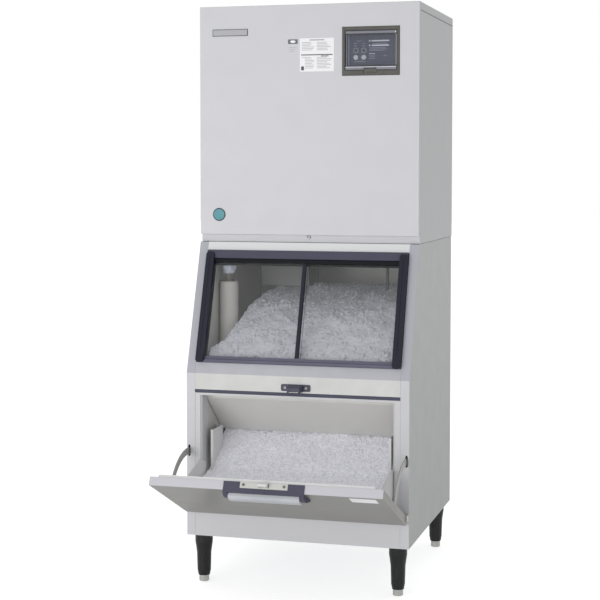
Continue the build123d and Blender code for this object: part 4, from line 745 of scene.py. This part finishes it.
# Colour of the painted highlights on the flap
highlight_bright = printed("highlight_bright", colour(196, 198, 206), 0.2, 500)
joint_dark = printed("joint_dark", colour(34, 34, 38), 0.4, 500)
flap_bars = on_head()
flap_bars.bar(BAR_LEFT, BAR_RIGHT, FLAP_HIGH - 0.0078, FLAP_HIGH - 0.0003, *ON_FLAP)
flap_bars.bar(BAR_LEFT, TAB_LEFT, FLAP_LOW + 0.0003, FLAP_LOW + 0.0070, *ON_FLAP)
flap_bars.bar(TAB_RIGHT, BAR_RIGHT, FLAP_LOW + 0.0003, FLAP_LOW + 0.0070, *ON_FLAP)
flap_bars.make("flap_bars", bar_grey, "flap")
# Painted highlights on the flap's edges and bars
highlights = on_head()
highlights.bar(BAR_LEFT, BAR_RIGHT, FLAP_LOW + 0.0072, FLAP_LOW + 0.0096, *ON_FLAP)
highlights.bar(FLAP_RIGHT - 0.0016, BAR_RIGHT, CLEAR_LOW, CLEAR_HIGH, *IN_FLAP)
highlights.bar(FLAP_RIGHT - 0.0040, FLAP_RIGHT - 0.0008, FLAP_HIGH - 0.0072, FLAP_HIGH - 0.0010, 0.0009, 0.00155)
highlights.make("flap_highlights", highlight_bright, "flap")
joints = on_head()
joints.bar(BAR_LEFT, BAR_RIGHT, FLAP_HIGH - 0.0112, FLAP_HIGH - 0.0082, *IN_FLAP)
joints.bar(BAR_LEFT, BAR_RIGHT, FLAP_LOW + 0.0102, FLAP_LOW + 0.0128, *IN_FLAP)
joints.make("flap_joints", joint_dark, "flap")
# Painted highlights: two faint light lines along the flap's left edge
left_glints = on_head()
for step in (0.0030, 0.0100):
    left = FLAP_LEFT + step
    left_glints.bar(left, left + 0.0011, CLEAR_LOW, CLEAR_HIGH, -0.0002, 0.0003)
left_glints.make("flap_left_glints", print_dim, "flap")
tab = on_head()
tab.bar(TAB_LEFT + 0.0003, TAB_RIGHT - 0.0003, FLAP_LOW - 0.0092, FLAP_LOW + 0.0038, *ON_FLAP, 0.0004)
tab.make("flap_tab", finishes["bezel"], "flap")

# Dark joint between bezel and flap, left out at the tab, and round the screw under the head
WELL_LEFT, WELL_RIGHT, WELL_LOW, WELL_HIGH = 0.1188, 0.2792, 1.5858, 1.7052
JOINT = 0.0022
well = on_head()
for box in (
    (WELL_LEFT - JOINT, WELL_LEFT, WELL_LOW - JOINT, WELL_HIGH + JOINT),
    (WELL_RIGHT, WELL_RIGHT + JOINT, WELL_LOW - JOINT, WELL_HIGH + JOINT),
    (WELL_LEFT, WELL_RIGHT, WELL_HIGH, WELL_HIGH + JOINT),
    (WELL_LEFT, TAB_LEFT, WELL_LOW - JOINT, WELL_LOW),
    (TAB_RIGHT, WELL_RIGHT, WELL_LOW - JOINT, WELL_LOW),
):
    well.bar(*box, 0.0029, 0.0032)
well.make("bezel_joint", joint_dark, "cabinet")
collar = facing_front(HEAD_FOOT)
collar.ring(0.0, 1.0745, 0.0062, 0.0046, -0.0001, 0.0004)
collar.make("head_screw_ring", print_dark, "cabinet")


# Painted shadow in the tongue's slot beside it, and the crossed recesses of the screws: dark painted shade
# on the strike plate, grey on the catch
def cross(shapes, u, v, half, low):
    """The crossed recess of a screw's head."""
    shapes.bar(u - half, u + half, v - 0.0004, v + 0.0004, low, 0.0022)
    shapes.bar(u - 0.0004, u + 0.0004, v - half, v + half, low, 0.0022)


strike = Shapes(hinge + door_up * STRIKE_FACE, (1, 0, 0), door_out, door_up)
for u0, u1 in ((-0.0152, -0.0139), (0.0139, 0.0152)):
    strike.bar(u0, u1, -0.0020, 0.0100, 0.0, 0.0003)
for u in (-0.060, 0.060):
    cross(strike, u, 0.0040, 0.0024, 0.0018)
strike.make("strike_painted_shade", joint_dark, "door")
catch = Shapes((0, CATCH_FACE, CATCH_Z), (1, 0, 0), (0, 0, 1), (0, -1, 0))
for u in (-0.033, 0.033):
    cross(catch, u, 0.0, 0.0022, 0.0017)
catch.make("catch_screw_marks", print_grey, "cabinet")

# Edge line of the rear pane beside the stile
SLOPE = math.atan2(0.136, 0.399)  # of the windows, back from upright
slope_up = (0, math.sin(SLOPE), math.cos(SLOPE))
slope_out = (0, -math.cos(SLOPE), math.sin(SLOPE))
rear_pane = Shapes((0, -0.350, MID_FOLD), (1, 0, 0), slope_up, slope_out)
rear_pane.bar(0.0062, 0.0074, 0.057, 0.353, -0.0100, -0.0094)
rear_pane.make("pane_edge_line", print_dark, "window_right")


# Loose ice
def chip_templates(count, seed, corners=11):
    """Small angular lumps: hulls of random points near a squashed ball."""
    made = []
    draw = random.Random(seed)
    for _ in range(count):
        bm = bmesh.new()
        squash = (1.0, draw.uniform(0.62, 0.95), draw.uniform(0.45, 0.8))
        for _ in range(corners):
            p = Vector((draw.gauss(0, 1), draw.gauss(0, 1), draw.gauss(0, 1))).normalized()
            p *= draw.uniform(0.8, 1.0)
            bm.verts.new((p.x * squash[0], p.y * squash[1], p.z * squash[2]))
        bmesh.ops.convex_hull(bm, input=bm.verts)
        loose = [v for v in bm.verts if not v.link_faces]
        bmesh.ops.delete(bm, geom=loose, context="VERTS")
        bmesh.ops.recalc_face_normals(bm, faces=bm.faces)
        bm.verts.index_update()
        corners_kept = [v.co.copy() for v in bm.verts]
        made.append((corners_kept, [tuple(v.index for v in f.verts) for f in bm.faces]))
        bm.free()
    return made


CHIPS = chip_templates(14, 7)
TURN = 6.3  # a full turn, in radians
SMALL_BIAS = 1.7  # over 1: more small chips than large ones


def scatter(name, places, small, large, seed, material):
    """One piece of many chips, one at each place, each turned its own way."""
    draw = random.Random(seed)
    points = []
    faces = []
    for place in places:
        corners, sides = CHIPS[draw.randrange(len(CHIPS))]
        size = small + (large - small) * draw.random() ** SMALL_BIAS
        turn = Euler((draw.uniform(0, TURN), draw.uniform(0, TURN), draw.uniform(0, TURN))).to_matrix()
        start = len(points)
        points.extend(turn @ (v * size) + place for v in corners)
        faces.extend(tuple(i + start for i in side) for side in sides)
    return new_piece(name, points, faces, material, "cabinet")


def along(path, share):
    """Point and outward normal at a share of the length of a path in Y and Z."""
    runs = [math.dist(a, b) for a, b in zip(path, path[1:])]
    left = share * sum(runs)
    for (a, b), run in zip(zip(path, path[1:]), runs):
        if left <= run or (a, b) == (path[-2], path[-1]):
            t = min(1.0, left / run)
            y = a[0] + (b[0] - a[0]) * t
            z = a[1] + (b[1] - a[1]) * t
            return Vector((0, y, z)), Vector((0, -(b[1] - a[1]) / run, (b[0] - a[0]) / run))
        left -= run
    return Vector((0, *path[-1])), Vector((0, 0, 1))


def smooth_path(path, rounds=3):
    """Cuts the corners of an open path a few times over."""
    for _ in range(rounds):
        cut = [path[0]]
        for a, b in zip(path, path[1:]):
            cut.append((a[0] * 0.75 + b[0] * 0.25, a[1] * 0.75 + b[1] * 0.25))
            cut.append((a[0] * 0.25 + b[0] * 0.75, a[1] * 0.25 + b[1] * 0.75))
        cut.append(path[-1])
        path = cut
    return path


# Half the width of the ice in the bin, and of the ice on the door
ICE_HALF = 0.292
DOOR_HALF = 0.2925
# Paths in Y and Z, front to back: the heap's top seen through the windows, its foot in the
# lower opening, and the part of the ice that lies on the open door
heap_top = smooth_path(
    [
        (-0.317, 0.628),
        (-0.313, 0.690),
        (-0.285, 0.742),
        (-0.180, 0.838),
        (-0.090, 0.880),
        (0.020, 0.898),
        (0.150, 0.905),
        (0.284, 0.880),
    ]
)
heap_foot = smooth_path(
    [
        (-0.312, 0.330),
        (-0.308, 0.352),
        (-0.204, 0.416),
        (-0.150, 0.448),
        (-0.128, 0.462),
    ],
    2,
)
door_top = smooth_path(
    [
        (-0.470, 0.303),
        (-0.466, 0.325),
        (-0.440, 0.334),
        (-0.395, 0.337),
        (-0.350, 0.343),
        (-0.312, 0.352),
    ],
    2,
)
# Highest ice, as X and Z: the heap falls away towards the drain pipe on the left
LEFT_FALL = (
    (-0.293, 0.722),
    (-0.260, 0.742),
    (-0.236, 0.776),
    (-0.212, 0.845),
    (-0.180, 0.890),
    (-0.110, 0.93),
    (0.3, 0.98),
)


def highest(x):
    """Highest ice at x."""
    for (x0, z0), (x1, z1) in zip(LEFT_FALL, LEFT_FALL[1:]):
        if x <= x1:
            break
    return z0 + (z1 - z0) * max(0.0, (x - x0) / (x1 - x0))


def lumps(p, size, reach, seed):
    """Rolling unevenness of loose ice at a point."""
    q = Vector((p.x / size + seed, p.y / size, p.z / size))
    return noise.noise(q) * reach + noise.noise(q * 2.7) * reach * 0.45


# Sizes of the unevenness: over the surface, along the fall on the left, and of the fine ripple
LUMP_SIZE = 0.085
FALL_LUMP_SIZE = 0.07
RIPPLE_SIZE = 0.011
RIPPLE_REACH = 0.0022


class Ice:
    """An uneven surface of loose ice over a path, from -half to half."""

    def __init__(self, path, half, reach, seed, falls=False):
        self.path = path
        self.half = half
        self.reach = reach
        self.seed = seed
        self.falls = falls

    def point(self, x, share):
        """A point on the surface, and its outward direction."""
        point, out = along(self.path, share)
        point.x = x
        point += out * lumps(point, LUMP_SIZE, self.reach, self.seed)
        if self.falls:
            point.z = min(point.z, highest(x) + lumps(point, FALL_LUMP_SIZE, self.reach, self.seed + 5))
        return point, out

    def slab(self, name, columns, rows, depth, material):
        """A closed slab under the surface, with a fine ripple on it."""
        points = []
        under = []
        for i in range(rows + 1):
            for j in range(columns + 1):
                point, out = self.point(-self.half + 2 * self.half * j / columns, i / rows)
                point += out * lumps(point, RIPPLE_SIZE, RIPPLE_REACH, self.seed + 9)
                points.append(point)
                under.append(point - out * depth)
        top = len(points)
        points += under
        faces = []
        step = columns + 1
        for i in range(rows):
            for j in range(columns):
                a = i * step + j
                faces.append((a, a + 1, a + step + 1, a + step))
                faces.append((top + a, top + a + step, top + a + step + 1, top + a + 1))
        for j in range(columns):
            a, b = j, rows * step + j
            faces.append((a, top + a, top + a + 1, a + 1))
            faces.append((b, b + 1, top + b + 1, top + b))
        for i in range(rows):
            a, b = i * step, i * step + columns
            faces.append((a, a + step, top + a + step, top + a))
            faces.append((b, top + b, top + b + step, b + step))
        return new_piece(name, points, faces, material, "cabinet")

    def places(self, count, margin, sink):
        """Places for chips at the surface, some of them deeper than others, down to sink."""
        made = []
        for _ in range(count):
            x = ice_draw.uniform(margin - self.half, self.half - margin)
            point, out = self.point(x, ice_draw.random())
            made.append(point - out * ice_draw.uniform(0.15, 1.0) * sink)
        return made


# Ice finishes, each with a painted glow, the heap's with painted shade towards the back
ice_clear = ice("ice_chips", colour(200, 202, 210), clear=0.0, rough=0.30, painted_glow=0.07, back_shade=0.36)
ice_bulk = ice("ice_bulk", colour(204, 206, 214), clear=0.0, rough=0.34, painted_glow=0.08, back_shade=0.36)
ice_floor = ice("ice_floor", colour(226, 226, 231), clear=0.0, rough=0.3, painted_glow=0.13)
ice_fine = ice("ice_fine", colour(222, 222, 227), clear=0.10, rough=0.24, painted_glow=0.13)

ice_draw = random.Random(21)

surface = Ice(heap_top, ICE_HALF, reach=0.012, seed=3.0, falls=True)
heap = surface.slab("ice_heap", 110, 120, depth=0.02, material=ice_bulk)
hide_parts("ice_bed")
places = surface.places(6600, margin=0.008, sink=0.0095)
heap_chips = scatter("ice_heap_chips", places, small=0.0070, large=0.0135, seed=31, material=ice_clear)

surface = Ice(heap_foot, ICE_HALF, reach=0.006, seed=8.0)
foot = surface.slab("ice_foot", 120, 50, depth=0.02, material=ice_floor)
places = surface.places(6700, margin=0.006, sink=0.0050)
foot_chips = scatter("ice_foot_chips", places, small=0.0045, large=0.0090, seed=32, material=ice_fine)

# The ice on the open door; its two pieces get meshes of their own
surface = Ice(door_top, DOOR_HALF, reach=0.004, seed=5.0)
front = surface.slab("ice_front_bulk", 110, 36, depth=0.016, material=ice_floor)
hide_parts("ice_front")
places = surface.places(5200, margin=0.005, sink=0.0050)
front_chips = scatter("ice_front_chips", places, small=0.0045, large=0.0085, seed=33, material=ice_fine)
for piece in (front, front_chips):
    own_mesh(piece)


# Floor, light and camera
FLOOR_REACH = 30
corners = [(x * FLOOR_REACH, y * FLOOR_REACH, 0) for x, y in ((-1, -1), (1, -1), (1, 1), (-1, 1))]
floor_mesh = bpy.data.meshes.new("floor")
floor_mesh.from_pydata(corners, [], [(0, 1, 2, 3)])
floor = bpy.data.objects.new("floor", floor_mesh)
bpy.context.scene.collection.objects.link(floor)
# The floor glows a little, and more to the camera, so that it reads as white
pale = Finish("pale_floor", (0.86, 0.86, 0.86, 1), 0.9)
pale.mottle(2, 2.0, dark=0.995, light=1.005)
pale.set("Emission Color", (1, 1, 1, 1))
seen = pale.add("ShaderNodeLightPath").outputs["Is Camera Ray"]
pale.link(pale.ramp(seen, 0.0, 1.0, 0.22, 0.62), pale.shader.inputs["Emission Strength"])
floor_mesh.materials.append(pale.material)

# White all round: its strength as a light, and as the camera sees it
SKY_LIGHT, SKY_SEEN = 0.60, 1.0
world = bpy.data.worlds.new("studio")
world.use_nodes = True
backdrop = world.node_tree.nodes["Background"]
backdrop.inputs["Color"].default_value = (1, 1, 1, 1)
sight = world.node_tree.nodes.new("ShaderNodeLightPath")
strength = world.node_tree.nodes.new("ShaderNodeMapRange")
strength.inputs["To Min"].default_value = SKY_LIGHT
strength.inputs["To Max"].default_value = SKY_SEEN
world.node_tree.links.new(sight.outputs["Is Camera Ray"], strength.inputs["Value"])
world.node_tree.links.new(strength.outputs["Result"], backdrop.inputs["Strength"])
bpy.context.scene.world = world


# One softbox in front of the machine, a little to the left
KEY_PLACE = Vector((-1.9, -5.6, 1.1))
KEY_TARGET = Vector((0, -0.3, 0.85))
key_data = bpy.data.lights.new("key", "AREA")
key_data.shape = "RECTANGLE"
key_data.size, key_data.size_y = 3.6, 2.4
key_data.energy = 95
key_light = bpy.data.objects.new("key", key_data)
key_light.location = KEY_PLACE
key_light.rotation_euler = (KEY_TARGET - KEY_PLACE).to_track_quat("-Z", "Y").to_euler()
bpy.context.scene.collection.objects.link(key_light)

# The camera that was fitted to the photograph, with part of its upward shift made by a tilt
camera_data = bpy.data.cameras.new("camera")
camera_data.sensor_width = 36
camera_data.lens = 91.10
camera_data.shift_y = -0.08
camera_data.clip_end = 100
camera = bpy.data.objects.new("camera", camera_data)
camera.location = (1.2400, -4.7426, 1.2883)
camera.rotation_euler = (math.radians(86.827), 0, math.radians(15.603))
bpy.context.scene.collection.objects.link(camera)
bpy.context.scene.camera = camera
bpy.context.scene.view_settings.view_transform = "Standard"
